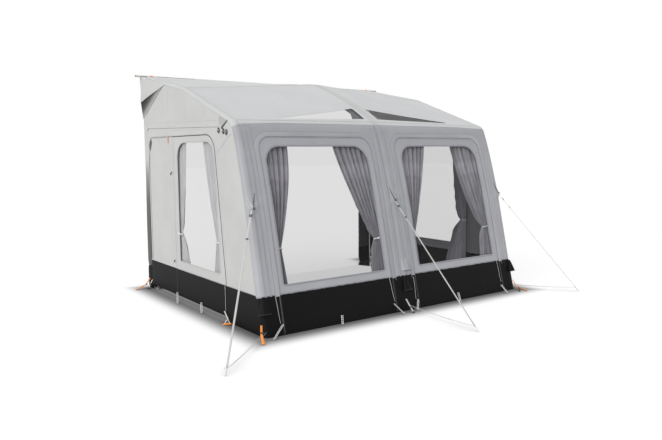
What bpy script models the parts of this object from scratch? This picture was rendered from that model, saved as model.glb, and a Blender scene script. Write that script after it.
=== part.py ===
"""Inflatable caravan awning, modelled at its real size in metres with +Z up.

The awning is drawn in a working frame first: x across the width, u forward from the caravan wall,
and z up. World y is minus u, and the last step moves the middle of the footprint to the origin.
The fabric skin is one bowed envelope that is cut into the panels a maker would sew or zip together.
"""

import math

import bmesh
import bpy
from mathutils import Matrix, Vector

# Driving dimensions of the envelope
WIDTH = 3.30
DEPTH = 2.60
RAIL_HEIGHT = 2.44
FRONT_DROP = 0.592
FRONT_LEAN = 0.498
FRONT_BOW = 0.035
KNEE_DEPTH = 1.02
KNEE_DROP = 0.205
ROOF_CROWN = 0.11
EDGE_BAND = 0.15
CENTRE_BAND = 0.076
CORNER_RADIUS = 0.042
TOP_RADIUS = 0.13
EDGE_SEAM = 0.07

# Sizes that follow from them
HALF_WIDTH = WIDTH / 2
FRONT_HEIGHT = RAIL_HEIGHT - FRONT_DROP
KNEE_HEIGHT = RAIL_HEIGHT - KNEE_DROP
TOP_DEPTH = DEPTH - FRONT_LEAN

# Stock sizes and clearances
FABRIC = 0.002
GAP = 0.0003
OVERRUN = 0.1

# Zipped front panels, their windows and the dark mudwall under them
MUDWALL_HEIGHT = 0.343
ZIP_FROM_CENTRE = 0.15
ZIP_FROM_SIDE = 0.195
ZIP_FROM_TOP = 0.128
ZIP_RADIUS = 0.13
INNER_STILE = 0.085
OUTER_STILE = 0.097
WINDOW_SILL = 0.077
WINDOW_HEAD = 0.095
WINDOW_RADIUS = 0.11
WINDOW_FOOT_RADIUS = 0.015
ZIP_INNER = ZIP_FROM_CENTRE
ZIP_OUTER = HALF_WIDTH - ZIP_FROM_SIDE
ZIP_TOP = FRONT_HEIGHT - ZIP_FROM_TOP
WINDOW_INNER = ZIP_INNER + INNER_STILE
WINDOW_OUTER = ZIP_OUTER - OUTER_STILE
WINDOW_BOTTOM = MUDWALL_HEIGHT + WINDOW_SILL
WINDOW_TOP = ZIP_TOP - WINDOW_HEAD

# Side walls, with a door at the rear and a window in front of it
DOOR_FROM_REAR = 0.05
DOOR_WIDTH = 0.68
DOOR_FROM_TOP = 0.103
DOOR_RADIUS = 0.10
SIDE_STILE = 0.11
SIDE_WINDOW_FROM_FRONT = 0.835
SIDE_WINDOW_SLOPE = 0.085
SIDE_WINDOW_SILL = 0.097
SIDE_WINDOW_HEAD = 0.07
SIDE_WINDOW_RADIUS = 0.16
DOOR_REAR = DOOR_FROM_REAR
DOOR_HINGE = DOOR_REAR + DOOR_WIDTH
DOOR_TOP = FRONT_HEIGHT - DOOR_FROM_TOP
SIDE_WINDOW_REAR = DOOR_HINGE + SIDE_STILE
SIDE_WINDOW_FRONT = DEPTH - SIDE_WINDOW_FROM_FRONT
SIDE_WINDOW_BOTTOM = MUDWALL_HEIGHT + SIDE_WINDOW_SILL
SIDE_WINDOW_TOP = DOOR_TOP - SIDE_WINDOW_HEAD

# Frame tubes
BEAM_RADIUS = 0.05

# Facets and shares of the smooth shapes
FRONT_ROWS = 10
ARC_STEPS = 4
ROOF_ROWS = 4
ROOF_COLUMNS = 3
CORNER_STEPS = 3
ROUND_STEPS = 5
BOW_PEAK_SHARE = 27 / 4
CROWN_FALL_POWER = 3
SIDES = {"left": -1, "right": 1}


def clear_scene():
    """Remove every object so that the script can run again."""
    for old in list(bpy.data.objects):
        bpy.data.objects.remove(old, do_unlink=True)


def new_collection(name):
    """A collection under the scene's own."""
    made = bpy.data.collections.new(name)
    bpy.context.scene.collection.children.link(made)
    return made


clear_scene()
PARTS = new_collection("caravan_awning")
CUTTERS = new_collection("cutters")


def paint(name, colour, roughness, metallic=0.0):
    """A Principled material from a linear colour."""
    made = bpy.data.materials.new(name)
    made.use_nodes = True
    shader = made.node_tree.nodes["Principled BSDF"]
    shader.inputs["Base Color"].default_value = (*colour, 1.0)
    shader.inputs["Roughness"].default_value = roughness
    shader.inputs["Metallic"].default_value = metallic
    made.diffuse_color = (*colour, 1.0)
    return made


ROOF_CLOTH = paint("roof_fabric", (0.62, 0.63, 0.63), 0.7)
WALL_CLOTH = paint("wall_fabric", (0.36, 0.36, 0.39), 0.75)
MUD_CLOTH = paint("mudwall_fabric", (0.012, 0.012, 0.014), 0.6)
CLEAR_FILM = paint("window_film", (0.75, 0.77, 0.78), 0.1)
TINT_FILM = paint("skylight_film", (0.25, 0.26, 0.27), 0.12)
CURTAIN_CLOTH = paint("curtain_fabric", (0.2, 0.19, 0.22), 0.85)
BEAM_SLEEVE = paint("beam_sleeve", (0.3, 0.3, 0.32), 0.6)
RAIL_METAL = paint("rail_aluminium", (0.8, 0.8, 0.78), 0.35, 1.0)
POLE_STEEL = paint("pole_steel", (0.55, 0.55, 0.56), 0.3, 1.0)
FOAM = paint("pad_foam", (0.01, 0.01, 0.011), 0.9)
WEBBING = paint("strap_webbing", (0.7, 0.7, 0.66), 0.8)
HARDWARE = paint("moulded_hardware", (0.02, 0.02, 0.02), 0.45)
PEG_ORANGE = paint("peg_orange", (0.9, 0.3, 0.06), 0.5)


def world(x, u, z):
    """World point of a point in the working frame."""
    return Vector((x, -u, z))


def add_object(name, mesh, material=None, collection=PARTS):
    """Link a mesh as an object; a cutter has no material and stays a wire guide."""
    made = bpy.data.objects.new(name, mesh)
    collection.objects.link(made)
    if collection is CUTTERS:
        made.hide_render = True
        made.display_type = "WIRE"
    if material:
        mesh.materials.clear()
        mesh.materials.append(material)
    return made


def evaluated_mesh(obj):
    """The mesh that an object shows, with its modifiers or bevel applied."""
    bpy.context.view_layer.update()
    graph = bpy.context.evaluated_depsgraph_get()
    return bpy.data.meshes.new_from_object(obj.evaluated_get(graph))


def weld(mesh):
    """Join the loose caps of a converted curve."""
    soft = bmesh.new()
    soft.from_mesh(mesh)
    bmesh.ops.remove_doubles(soft, verts=soft.verts, dist=GAP / 30)
    soft.to_mesh(mesh)
    soft.free()


def shade_round(mesh, angle=math.radians(35)):
    """Smooth shading that keeps the real edges sharp."""
    mesh.shade_smooth()
    mesh.set_sharp_from_angle(angle=angle)


def left_normal(start, end):
    """Unit normal to the left of a run from start to end."""
    run = Vector(end) - Vector(start)
    return Vector((-run.y, run.x)).normalized()


def mitre(first, second):
    """Offset direction at a corner between two unit normals."""
    return (first + second) / (1 + first.dot(second))


def offset_path(points, distance):
    """Open path moved to its left by a distance, or to its right where it is negative."""
    normals = [left_normal(a, b) for a, b in zip(points, points[1:])]
    corners = [normals[0]]
    corners += [mitre(a, b) for a, b in zip(normals, normals[1:])]
    corners.append(normals[-1])
    return [Vector(point) + corner * distance for point, corner in zip(points, corners)]


def offset_loop(points, distance):
    """Closed outline that runs anticlockwise, grown outward by a distance."""
    count = len(points)
    moved = []
    for index in range(count):
        before = left_normal(points[index - 1], points[index])
        after = left_normal(points[index], points[(index + 1) % count])
        moved.append(Vector(points[index]) - mitre(before, after) * distance)
    return moved


def rounded_outline(points, radii, grow=0.0, steps=ROUND_STEPS):
    """Anticlockwise outline grown by a distance, with a radius at each corner."""
    corners = offset_loop([Vector(point) for point in points], grow)
    count = len(corners)
    outline = []
    for index, corner in enumerate(corners):
        if radii[index] == 0:
            outline.append(corner)
            continue
        radius = radii[index] + grow
        into = (corner - corners[index - 1]).normalized()
        away = (corners[(index + 1) % count] - corner).normalized()
        turn = math.atan2(into.x * away.y - into.y * away.x, into.dot(away))
        reach = radius * math.tan(turn / 2)
        start = corner - into * reach
        centre = start + Vector((-into.y, into.x)) * radius
        first = math.atan2(start.y - centre.y, start.x - centre.x)
        for step in range(steps + 1):
            angle = first + turn * step / steps
            outline.append(centre + radius * Vector((math.cos(angle), math.sin(angle))))
    return outline


# Curve axes to world axes, for an outline drawn in (u, z), (x, z) or (x, u)
OUTLINE_AXES = {
    "X": Matrix(((0, 0, -1, 0), (-1, 0, 0, 0), (0, 1, 0, 0), (0, 0, 0, 1))),
    "Y": Matrix(((1, 0, 0, 0), (0, 0, -1, 0), (0, 1, 0, 0), (0, 0, 0, 1))),
    "Z": Matrix(((1, 0, 0, 0), (0, -1, 0, 0), (0, 0, -1, 0), (0, 0, 0, 1))),
}


def extruded_mesh(name, outline, axis, low, high):
    """Closed mesh of a flat outline, extruded along a world axis from low to high."""
    curve = bpy.data.curves.new(name, "CURVE")
    curve.dimensions = "2D"
    curve.fill_mode = "BOTH"
    curve.extrude = (high - low) / 2
    spline = curve.splines.new("POLY")
    spline.points.add(len(outline) - 1)
    for point, place in zip(spline.points, outline):
        point.co = (place[0], place[1], 0, 1)
    spline.use_cyclic_u = True
    drawn = bpy.data.objects.new(name, curve)
    CUTTERS.objects.link(drawn)
    mesh = evaluated_mesh(drawn)
    bpy.data.objects.remove(drawn, do_unlink=True)
    bpy.data.curves.remove(curve)
    weld(mesh)
    mesh.transform(OUTLINE_AXES[axis])
    middle = (high + low) / 2
    shift = {"X": (middle, 0, 0), "Y": (0, middle, 0), "Z": (0, 0, middle)}[axis]
    mesh.transform(Matrix.Translation(shift))
    return mesh


def cutter(name, outline, axis, low, high):
    """Wire guide that cuts the skin."""
    return add_object(name, extruded_mesh(name, outline, axis, low, high), None, CUTTERS)


def block_cutter(name, x_span, u_span, z_span):
    """Box-shaped guide between limits in the working frame."""
    low_u, high_u = u_span
    outline = [(x, low_u) for x in x_span] + [(x, high_u) for x in reversed(x_span)]
    return cutter(name, outline, "Z", *z_span)


def boolean(obj, tool, operation):
    """Boolean modifier with an exact solver."""
    modifier = obj.modifiers.new(f"{operation.lower()}_{tool.name}", "BOOLEAN")
    modifier.operation = operation
    modifier.solver = "EXACT"
    modifier.object = tool


def crown_share(x, u):
    """How much of the roof's crown stands at a place: most at the centre of the knee."""
    flat_edge = HALF_WIDTH - EDGE_BAND
    across = (flat_edge - abs(x)) / (flat_edge - CENTRE_BAND / 2)
    across = min(max(across, 0), 1)
    if u < KNEE_DEPTH:
        along = u / KNEE_DEPTH
    else:
        along = 1 - ((u - KNEE_DEPTH) / (TOP_DEPTH - KNEE_DEPTH)) ** CROWN_FALL_POWER
    return across * min(max(along, 0), 1)


def front_depth(z):
    """Distance of the front wall from the caravan at a height."""
    share = min(max(z / FRONT_HEIGHT, 0), 1)
    bow = FRONT_BOW * BOW_PEAK_SHARE * share**2 * (1 - share)
    return DEPTH - FRONT_LEAN * z / FRONT_HEIGHT + bow


def top_fillet():
    """Start, end, centre and angles of the round between the front wall and the roof."""
    corner = Vector((TOP_DEPTH, FRONT_HEIGHT))
    front_run = Vector((-(FRONT_LEAN + FRONT_BOW * BOW_PEAK_SHARE), FRONT_HEIGHT)).normalized()
    roof_run = Vector((KNEE_DEPTH, KNEE_HEIGHT)) - corner
    roof_run.normalize()
    turn = math.acos(front_run.dot(roof_run))
    reach = TOP_RADIUS * math.tan(turn / 2)
    start = corner - front_run * reach
    end = corner + roof_run * reach
    centre = start + Vector((-front_run.y, front_run.x)) * TOP_RADIUS
    first = math.atan2(front_run.y, front_run.x) - math.pi / 2
    return start, end, centre, first, turn


def awning_profile(x):
    """Outer line of the skin at a place across the width, from below the front hem to the rear."""
    start, end, centre, first, turn = top_fillet()
    line = [Vector((front_depth(-OVERRUN), -OVERRUN))]
    for row in range(FRONT_ROWS):
        height = start.y * row / FRONT_ROWS
        line.append(Vector((front_depth(height), height)))
    for step in range(ARC_STEPS):
        angle = first + turn * step / ARC_STEPS
        line.append(centre + TOP_RADIUS * Vector((math.cos(angle), math.sin(angle))))
    knee = Vector((KNEE_DEPTH, KNEE_HEIGHT))
    rear = Vector((0, RAIL_HEIGHT))
    line += [end.lerp(knee, row / ROOF_ROWS) for row in range(ROOF_ROWS)]
    line += [knee.lerp(rear, row / ROOF_ROWS) for row in range(ROOF_ROWS + 1)]
    line.append(rear + (rear - knee).normalized() * OVERRUN)
    return [Vector((point.x, point.y + ROOF_CROWN * crown_share(x, point.x))) for point in line]


SIDE_PROFILE = awning_profile(HALF_WIDTH)
CENTRE_PROFILE = awning_profile(0)
ARC_START = 1 + FRONT_ROWS
ROOF_SEAM = ARC_START + ARC_STEPS // 2


def skin_stations():
    """Places across the width, each with how far the profile is drawn in at the rounded edge."""
    flat_edge = HALF_WIDTH - EDGE_BAND
    outward = []
    for column in range(ROOF_COLUMNS + 1):
        share = column / ROOF_COLUMNS
        outward.append((CENTRE_BAND / 2 + (flat_edge - CENTRE_BAND / 2) * share, 0))
    for step in range(CORNER_STEPS + 1):
        angle = math.pi / 2 * step / CORNER_STEPS
        out = HALF_WIDTH - CORNER_RADIUS * (1 - math.sin(angle))
        outward.append((out, CORNER_RADIUS * (1 - math.cos(angle))))
    inward = [(-out, drawn) for out, drawn in reversed(outward)]
    return inward + outward


def skin_faces(shape, near, far):
    """Faces between two columns; the crown twists the roof's fields, so each is two flat halves."""
    for row in range(len(near) - 1):
        ring = [near[row], far[row], far[row + 1], near[row + 1]]
        if row < ROOF_SEAM:
            shape.faces.new(ring)
            continue
        if near[row].co.x < 0:
            ring = ring[1:] + ring[:1]
        shape.faces.new(ring[:3])
        shape.faces.new((ring[0], ring[2], ring[3]))


def make_skin():
    """The whole fabric envelope as a thin closed shell, trimmed at the ground and the caravan."""
    shape = bmesh.new()
    columns = []
    for x, drawn in skin_stations():
        line = offset_path(awning_profile(x), drawn)
        columns.append([shape.verts.new(world(x, point.x, point.y)) for point in line])
    for near, far in zip(columns, columns[1:]):
        skin_faces(shape, near, far)
    for column, side in ((columns[0], -1), (columns[-1], 1)):
        foot = shape.verts.new(world(side * HALF_WIDTH, -OVERRUN, -OVERRUN))
        ring = column + [foot]
        shape.faces.new(ring if side < 0 else ring[::-1])
    mesh = bpy.data.meshes.new("skin")
    shape.to_mesh(mesh)
    shape.free()
    sheet = add_object("skin_sheet", mesh, None, CUTTERS)
    wall = sheet.modifiers.new("thickness", "SOLIDIFY")
    wall.thickness = FABRIC
    wall.offset = -1
    wall.use_even_offset = True
    limits = (-WIDTH, WIDTH), (0, DEPTH + OVERRUN), (0, RAIL_HEIGHT + OVERRUN)
    boolean(sheet, block_cutter("skin_limits", *limits), "INTERSECT")
    return evaluated_mesh(sheet)


SKIN = make_skin()


def skin_piece(name, material, regions, holes=()):
    """A panel of the envelope: what lies in every region and in no hole."""
    obj = add_object(name, SKIN.copy(), material)
    for tool in regions:
        boolean(obj, tool, "INTERSECT")
    for tool in holes:
        boolean(obj, tool, "DIFFERENCE")
    return obj


def mirrored(outline, side):
    """An outline drawn for the right, turned over for the left."""
    if side > 0:
        return outline
    return [(-point[0], point[1]) for point in reversed(outline)]


def front_opening(side, grow):
    """Guide for a zipped front panel, from under the hem to the top zip."""
    low = -OVERRUN
    corners = [(ZIP_INNER, low), (ZIP_OUTER, low), (ZIP_OUTER, ZIP_TOP), (ZIP_INNER, ZIP_TOP)]
    outline = rounded_outline(corners, [0, 0, ZIP_RADIUS, ZIP_RADIUS], grow)
    return cutter("front_opening", mirrored(outline, side), "Y", -DEPTH - OVERRUN, -DEPTH / 2)


def front_glazing(side, grow):
    """Guide for a front window."""
    corners = [
        (WINDOW_INNER, WINDOW_BOTTOM),
        (WINDOW_OUTER, WINDOW_BOTTOM),
        (WINDOW_OUTER, WINDOW_TOP),
        (WINDOW_INNER, WINDOW_TOP),
    ]
    radii = [WINDOW_FOOT_RADIUS, WINDOW_FOOT_RADIUS, WINDOW_RADIUS, WINDOW_RADIUS]
    outline = rounded_outline(corners, radii, grow)
    return cutter("front_glazing", mirrored(outline, side), "Y", -DEPTH - OVERRUN, -DEPTH / 2)


def side_span(side):
    """X limits of a guide that reaches one side wall."""
    return (0, HALF_WIDTH + OVERRUN) if side > 0 else (-HALF_WIDTH - OVERRUN, 0)


def door_opening(side, grow):
    """Guide for a side door, from under the hem to its rounded top."""
    low = -OVERRUN
    corners = [(DOOR_REAR, low), (DOOR_HINGE, low), (DOOR_HINGE, DOOR_TOP), (DOOR_REAR, DOOR_TOP)]
    outline = rounded_outline(corners, [0, 0, 0, DOOR_RADIUS], grow)
    return cutter("door_opening", outline, "X", *side_span(side))


def side_glazing(side, grow):
    """Guide for a side window, whose front edge leans with the front wall."""
    corners = [
        (SIDE_WINDOW_REAR, SIDE_WINDOW_BOTTOM),
        (SIDE_WINDOW_FRONT, SIDE_WINDOW_BOTTOM),
        (SIDE_WINDOW_FRONT - SIDE_WINDOW_SLOPE, SIDE_WINDOW_TOP),
        (SIDE_WINDOW_REAR, SIDE_WINDOW_TOP),
    ]
    radii = [WINDOW_FOOT_RADIUS, WINDOW_FOOT_RADIUS, SIDE_WINDOW_RADIUS, SIDE_WINDOW_RADIUS]
    return cutter("side_glazing", rounded_outline(corners, radii, grow), "X", *side_span(side))


def above_mudwall():
    """Guide for all that is sewn above the mudwall's seam."""
    heights = (MUDWALL_HEIGHT + GAP, RAIL_HEIGHT + OVERRUN + ROOF_CROWN)
    return block_cutter("above_mudwall", (-WIDTH, WIDTH), (-OVERRUN, DEPTH + OVERRUN), heights)


def mudwall_band(x_span, u_span):
    """Guide for a length of mudwall between limits."""
    return block_cutter("mudwall_band", x_span, u_span, (-OVERRUN, MUDWALL_HEIGHT))


def edge_ring(first, last, start_gap):
    """Outline of the strip between the side wall's edge seam and the outside of the envelope."""
    inner = offset_path(SIDE_PROFILE, EDGE_SEAM)[first:last]
    outer = offset_path(SIDE_PROFILE, -ROOF_CROWN - OVERRUN)[first:last]
    along = (SIDE_PROFILE[first + 1] - SIDE_PROFILE[first]).normalized() * start_gap
    inner[0] = inner[0] + along
    outer[0] = outer[0] + along
    return inner + outer[::-1]


def make_front():
    """Front wall: the fixed border, two zipped panels with windows, and their mudwalls."""
    full = (-WIDTH, WIDTH)
    ring = cutter("front_ring", edge_ring(0, ROOF_SEAM + 1, 0), "X", *full)
    openings = [front_opening(side, 0) for side in SIDES.values()]
    skin_piece("front_border", WALL_CLOTH, [ring, above_mudwall()], openings)
    front_half = (DEPTH / 2, DEPTH + OVERRUN)
    centre = mudwall_band((-ZIP_INNER, ZIP_INNER), front_half)
    skin_piece("centre_mudwall", MUD_CLOTH, [centre])
    for word, side in SIDES.items():
        panel = front_opening(side, -GAP)
        glazing = front_glazing(side, 0)
        skin_piece(f"front_panel_{word}", WALL_CLOTH, [panel, above_mudwall()], [glazing])
        skin_piece(f"front_window_{word}", CLEAR_FILM, [front_glazing(side, -GAP)])
        band = mudwall_band(full, front_half)
        skin_piece(f"front_mudwall_{word}", MUD_CLOTH, [panel, band])


def make_sides():
    """Side walls with their door, window and mudwalls."""
    wall_line = offset_path(SIDE_PROFILE, EDGE_SEAM + GAP)
    foot = Vector((-OVERRUN, -OVERRUN))
    for word, side in SIDES.items():
        field = cutter("side_field", wall_line + [foot], "X", *side_span(side))
        front_of_door = mudwall_band((-WIDTH, WIDTH), (DOOR_HINGE, DEPTH + OVERRUN))
        low_span = (DOOR_HINGE - GAP, DEPTH + OVERRUN)
        low_heights = (-OVERRUN, MUDWALL_HEIGHT + GAP)
        low_strip = block_cutter("low_strip", (-WIDTH, WIDTH), low_span, low_heights)
        holes = [door_opening(side, 0), side_glazing(side, 0), low_strip]
        skin_piece(f"side_wall_{word}", ROOF_CLOTH, [field], holes)
        skin_piece(f"side_window_{word}", CLEAR_FILM, [side_glazing(side, -GAP)])
        door = door_opening(side, -GAP)
        skin_piece(f"side_door_{word}", ROOF_CLOTH, [door, above_mudwall()])
        band = mudwall_band((-WIDTH, WIDTH), (-OVERRUN, DOOR_HINGE))
        skin_piece(f"door_mudwall_{word}", MUD_CLOTH, [door, band])
        outer = (ZIP_OUTER, WIDTH) if side > 0 else (-WIDTH, -ZIP_OUTER)
        corner = mudwall_band(outer, (DOOR_HINGE, DEPTH + OVERRUN))
        skin_piece(f"side_mudwall_{word}", MUD_CLOTH, [corner, front_of_door])


# Skylights: a triangle each side of the centre band, low at the front
SKYLIGHT_FROM_BAND = 0.05
SKYLIGHT_FROM_SIDE = 0.485
SKYLIGHT_FROM_TOP = 0.095
SKYLIGHT_LENGTH = 0.215
SKYLIGHT_RADIUS = 0.012
SKYLIGHT_INNER = CENTRE_BAND / 2 + SKYLIGHT_FROM_BAND
SKYLIGHT_OUTER = HALF_WIDTH - SKYLIGHT_FROM_SIDE
SKYLIGHT_FRONT = TOP_DEPTH - SKYLIGHT_FROM_TOP
SKYLIGHT_REAR = SKYLIGHT_FRONT - SKYLIGHT_LENGTH


def skylight(side, grow):
    """Guide for a triangular skylight, drawn in (x, u)."""
    corners = [
        (SKYLIGHT_INNER, SKYLIGHT_REAR),
        (SKYLIGHT_OUTER, SKYLIGHT_FRONT),
        (SKYLIGHT_INNER, SKYLIGHT_FRONT),
    ]
    outline = rounded_outline(corners, [SKYLIGHT_RADIUS] * 3, grow, 2)
    heights = (FRONT_HEIGHT - OVERRUN, RAIL_HEIGHT + ROOF_CROWN)
    return cutter("skylight", mirrored(outline, side), "Z", *heights)


def make_roof():
    """Roof canopy, which turns over the front edge, and the two skylight films."""
    ring = cutter("roof_ring", edge_ring(ROOF_SEAM, len(SIDE_PROFILE), GAP), "X", -WIDTH, WIDTH)
    holes = [skylight(side, 0) for side in SIDES.values()]
    skin_piece("roof_canopy", ROOF_CLOTH, [ring], holes)
    for word, side in SIDES.items():
        skin_piece(f"skylight_{word}", TINT_FILM, [skylight(side, -GAP)])


def tube(name, points, radius, material, sides=20, radii=None):
    """A straight or bent tube along world points, with filled caps."""
    curve = bpy.data.curves.new(name, "CURVE")
    curve.dimensions = "3D"
    curve.bevel_depth = radius
    curve.bevel_resolution = (sides - 4) // 2
    curve.use_fill_caps = True
    spline = curve.splines.new("POLY")
    spline.points.add(len(points) - 1)
    for index, place in enumerate(points):
        spline.points[index].co = (*place, 1)
        if radii:
            spline.points[index].radius = radii[index] / radius
    made = bpy.data.objects.new(name, curve)
    PARTS.objects.link(made)
    curve.materials.append(material)
    return made


def trimmed_path(points, low_height, rear_depth):
    """The part of a front-to-rear path above a height and in front of a depth."""
    kept = [point for point in points if point.y > low_height and point.x > rear_depth]
    before = points[points.index(kept[0]) - 1]
    after = points[points.index(kept[-1]) + 1]
    foot = before.lerp(kept[0], (low_height - before.y) / (kept[0].y - before.y))
    end = kept[-1].lerp(after, (kept[-1].x - rear_depth) / (kept[-1].x - after.x))
    return [foot] + kept + [end]


BEAM_X = HALF_WIDTH - FABRIC - GAP - BEAM_RADIUS
BEAM_FOOT = 0.016
BEAM_REAR = 0.012


def beam_centreline(profile):
    """Line of a beam that lies against the inside of the skin."""
    return offset_path(profile, FABRIC + GAP + BEAM_RADIUS)


def make_beams():
    """Three inflated legs from the ground to the rail, and two cross beams at the front top."""
    places = {"left": -BEAM_X, "centre": 0, "right": BEAM_X}
    for word, x in places.items():
        profile = CENTRE_PROFILE if word == "centre" else SIDE_PROFILE
        line = trimmed_path(beam_centreline(profile), BEAM_FOOT, BEAM_REAR)
        tube(f"air_beam_{word}", [world(x, p.x, p.y) for p in line], BEAM_RADIUS, BEAM_SLEEVE)
    bend = beam_centreline(SIDE_PROFILE)[ARC_START + ARC_STEPS // 2]
    for word, side in SIDES.items():
        ends = (BEAM_RADIUS + GAP, BEAM_X - BEAM_RADIUS - GAP)
        line = [world(side * x, bend.x, bend.y) for x in ends]
        tube(f"cross_beam_{word}", line, BEAM_RADIUS, BEAM_SLEEVE, 16)


# Rail and bead along the caravan
RAIL_OVERHANG = 0.11
RAIL_RADIUS = 0.0125
RAIL_BORE = 0.0055
BEAD_RADIUS = 0.0045


def arc(centre, radius, first, last, steps):
    """Points of an arc."""
    angles = [first + (last - first) * step / steps for step in range(steps + 1)]
    return [(centre[0] + radius * math.cos(a), centre[1] + radius * math.sin(a)) for a in angles]


def make_rail():
    """A C-shaped rail, and the roof's bead that is drawn through it."""
    centre = (-RAIL_RADIUS - GAP, RAIL_HEIGHT - FABRIC / 2)
    slot = FABRIC / 2 + GAP
    outer_slot = math.asin(slot / RAIL_RADIUS)
    inner_slot = math.asin(slot / RAIL_BORE)
    flats = 4 * ROUND_STEPS + 1
    outline = arc(centre, RAIL_RADIUS, outer_slot, 2 * math.pi - outer_slot, flats)
    outline += arc(centre, RAIL_BORE, 2 * math.pi - inner_slot, inner_slot, flats)
    reach = HALF_WIDTH + RAIL_OVERHANG
    add_object("awning_rail", extruded_mesh("rail", outline, "X", -reach, reach), RAIL_METAL)
    tail = math.asin(FABRIC / 2 / BEAD_RADIUS)
    bead = arc(centre, BEAD_RADIUS, tail, 2 * math.pi - tail, 2 * ROUND_STEPS)
    bead += [(-GAP, centre[1] - FABRIC / 2), (-GAP, centre[1] + FABRIC / 2)]
    add_object("roof_bead", extruded_mesh("bead", bead, "X", -HALF_WIDTH, HALF_WIDTH), ROOF_CLOTH)


# Rear edge: foam pads against the caravan and the flaps that cover their tops
PAD_THICKNESS = 0.03
PAD_REACH = 0.085
PAD_FLARE = 0.10
PAD_TOP_DROP = 0.04
PAD_FLARE_DROP = 0.293
PAD_NECK_DROP = 0.65
PAD_TOP = RAIL_HEIGHT - PAD_TOP_DROP
PAD_FLARE_HEIGHT = RAIL_HEIGHT - PAD_FLARE_DROP
PAD_NECK_HEIGHT = RAIL_HEIGHT - PAD_NECK_DROP
WING_LENGTH = 0.60
WING_SPREAD = 0.055
WING_REACH = 0.06
SKIRT_HEIGHT = 0.68
SKIRT_WIDTH = 0.21


def make_rear_edges():
    """Foam pads on the rear edges, with a low skirt inside, and the flaps that flare outside."""
    pad = [
        (-GAP, PAD_TOP),
        (-PAD_REACH / 4, PAD_TOP),
        (-PAD_FLARE, PAD_FLARE_HEIGHT),
        (-PAD_REACH, PAD_NECK_HEIGHT),
        (-PAD_REACH, 0),
        (-GAP, 0),
    ]
    edge = offset_path(SIDE_PROFILE, CORNER_RADIUS)
    knee_run = (edge[-2] - edge[-2 - ROOF_ROWS]).normalized()
    top_front = edge[-2] - knee_run * WING_LENGTH
    wing = [
        (GAP, top_front.x, top_front.y),
        (WING_SPREAD, -GAP, edge[-2].y),
        (WING_SPREAD, -WING_REACH, PAD_FLARE_HEIGHT),
    ]
    for word, side in SIDES.items():
        inner = HALF_WIDTH - PAD_THICKNESS
        span = sorted((side * inner, side * HALF_WIDTH))
        upright = add_object(f"rear_pad_{word}", extruded_mesh("pad", pad, "X", *span), FOAM)
        span = sorted((side * (HALF_WIDTH - SKIRT_WIDTH), side * (inner + PAD_THICKNESS / 2)))
        skirt = block_cutter("skirt", span, (-PAD_THICKNESS, -GAP), (0, SKIRT_HEIGHT))
        boolean(upright, skirt, "UNION")
        near = [world(side * (HALF_WIDTH + out), u, z) for out, u, z in wing]
        far = [place + Vector((side * FABRIC, 0, 0)) for place in near]
        if side < 0:
            near, far = far, near
        mesh = bpy.data.meshes.new("wing")
        sides = [(1, 0, 3, 4), (2, 1, 4, 5), (0, 2, 5, 3)]
        mesh.from_pydata(near + far, [], [(0, 1, 2), (3, 5, 4)] + sides)
        add_object(f"rear_wing_{word}", mesh, ROOF_CLOTH)


def turned(name, profile, material, closed, steps=16):
    """A turned piece from a profile that runs down its outer side."""
    mesh = bpy.data.meshes.new(name)
    verts = [(radius, 0, height) for radius, height in profile]
    edges = [(i, i + 1) for i in range(len(verts) - 1)]
    if closed:
        edges.append((len(verts) - 1, 0))
    mesh.from_pydata(verts, edges, [])
    obj = add_object(name, mesh, material)
    screw = obj.modifiers.new("turn", "SCREW")
    screw.axis = "Z"
    screw.steps = steps
    screw.render_steps = steps
    screw.use_merge_vertices = True
    screw.merge_threshold = GAP / 10
    screw.use_smooth_shade = False
    return obj


# Telescopic rear poles
POLE_RADIUS = 0.0125
POLE_WALL = 0.0015
POLE_SPLIT = 1.15
POLE_LAP = 0.35
POLE_DEPTH = 0.045
FOOT_RADIUS = 0.028
FOOT_HEIGHT = 0.008


def make_rear_poles():
    """Two-piece poles that hold the rear corners up under the outer beams."""
    line = offset_path(SIDE_PROFILE, FABRIC + GAP + 2 * BEAM_RADIUS)
    ahead = POLE_DEPTH + POLE_RADIUS
    front, rear = line[-2 - ROOF_ROWS], line[-2]
    under_beam = rear.y + (front.y - rear.y) * (ahead - rear.x) / (front.x - rear.x)
    top = under_beam - GAP
    bore = POLE_RADIUS - POLE_WALL
    rod = bore - GAP
    for word, side in SIDES.items():
        sleeve = [(bore, top), (POLE_RADIUS, top), (POLE_RADIUS, POLE_SPLIT), (bore, POLE_SPLIT)]
        upper = turned(f"rear_pole_upper_{word}", sleeve, POLE_STEEL, True)
        stem = [
            (0, POLE_SPLIT + POLE_LAP),
            (rod, POLE_SPLIT + POLE_LAP),
            (rod, FOOT_HEIGHT + FOOT_RADIUS - rod),
            (FOOT_RADIUS, FOOT_HEIGHT),
            (FOOT_RADIUS, 0),
            (0, 0),
        ]
        lower = turned(f"rear_pole_lower_{word}", stem, POLE_STEEL, False)
        for pole in (upper, lower):
            pole.location = world(side * BEAM_X, POLE_DEPTH, 0)


# Curtains: pleated sheets gathered by a tieback towards the sides of each window
CURTAIN_CLOTH_THICKNESS = 0.0016
CURTAIN_LAP = 0.03
CURTAIN_FOLDS = 6
FOLD_POINTS = 4
FRONT_INNER_SPREAD = 0.42
FRONT_OUTER_SPREAD = 0.28
SIDE_SPREAD = 0.22
TIE_HEIGHT = 0.86
PLEAT_DEPTH = 0.022
TIE_DEPTH = 0.05
HEM_DEPTH = 0.034
TIE_WIDTH_SHARE = 0.26
HEM_WIDTH_SHARE = 0.5


def at_height(line, height):
    """Place on a front-to-rear line at a height of the front wall."""
    for low, high in zip(line, line[1:]):
        if low.y <= height <= high.y:
            return low.lerp(high, (height - low.y) / (high.y - low.y))
    return line[0]


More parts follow.
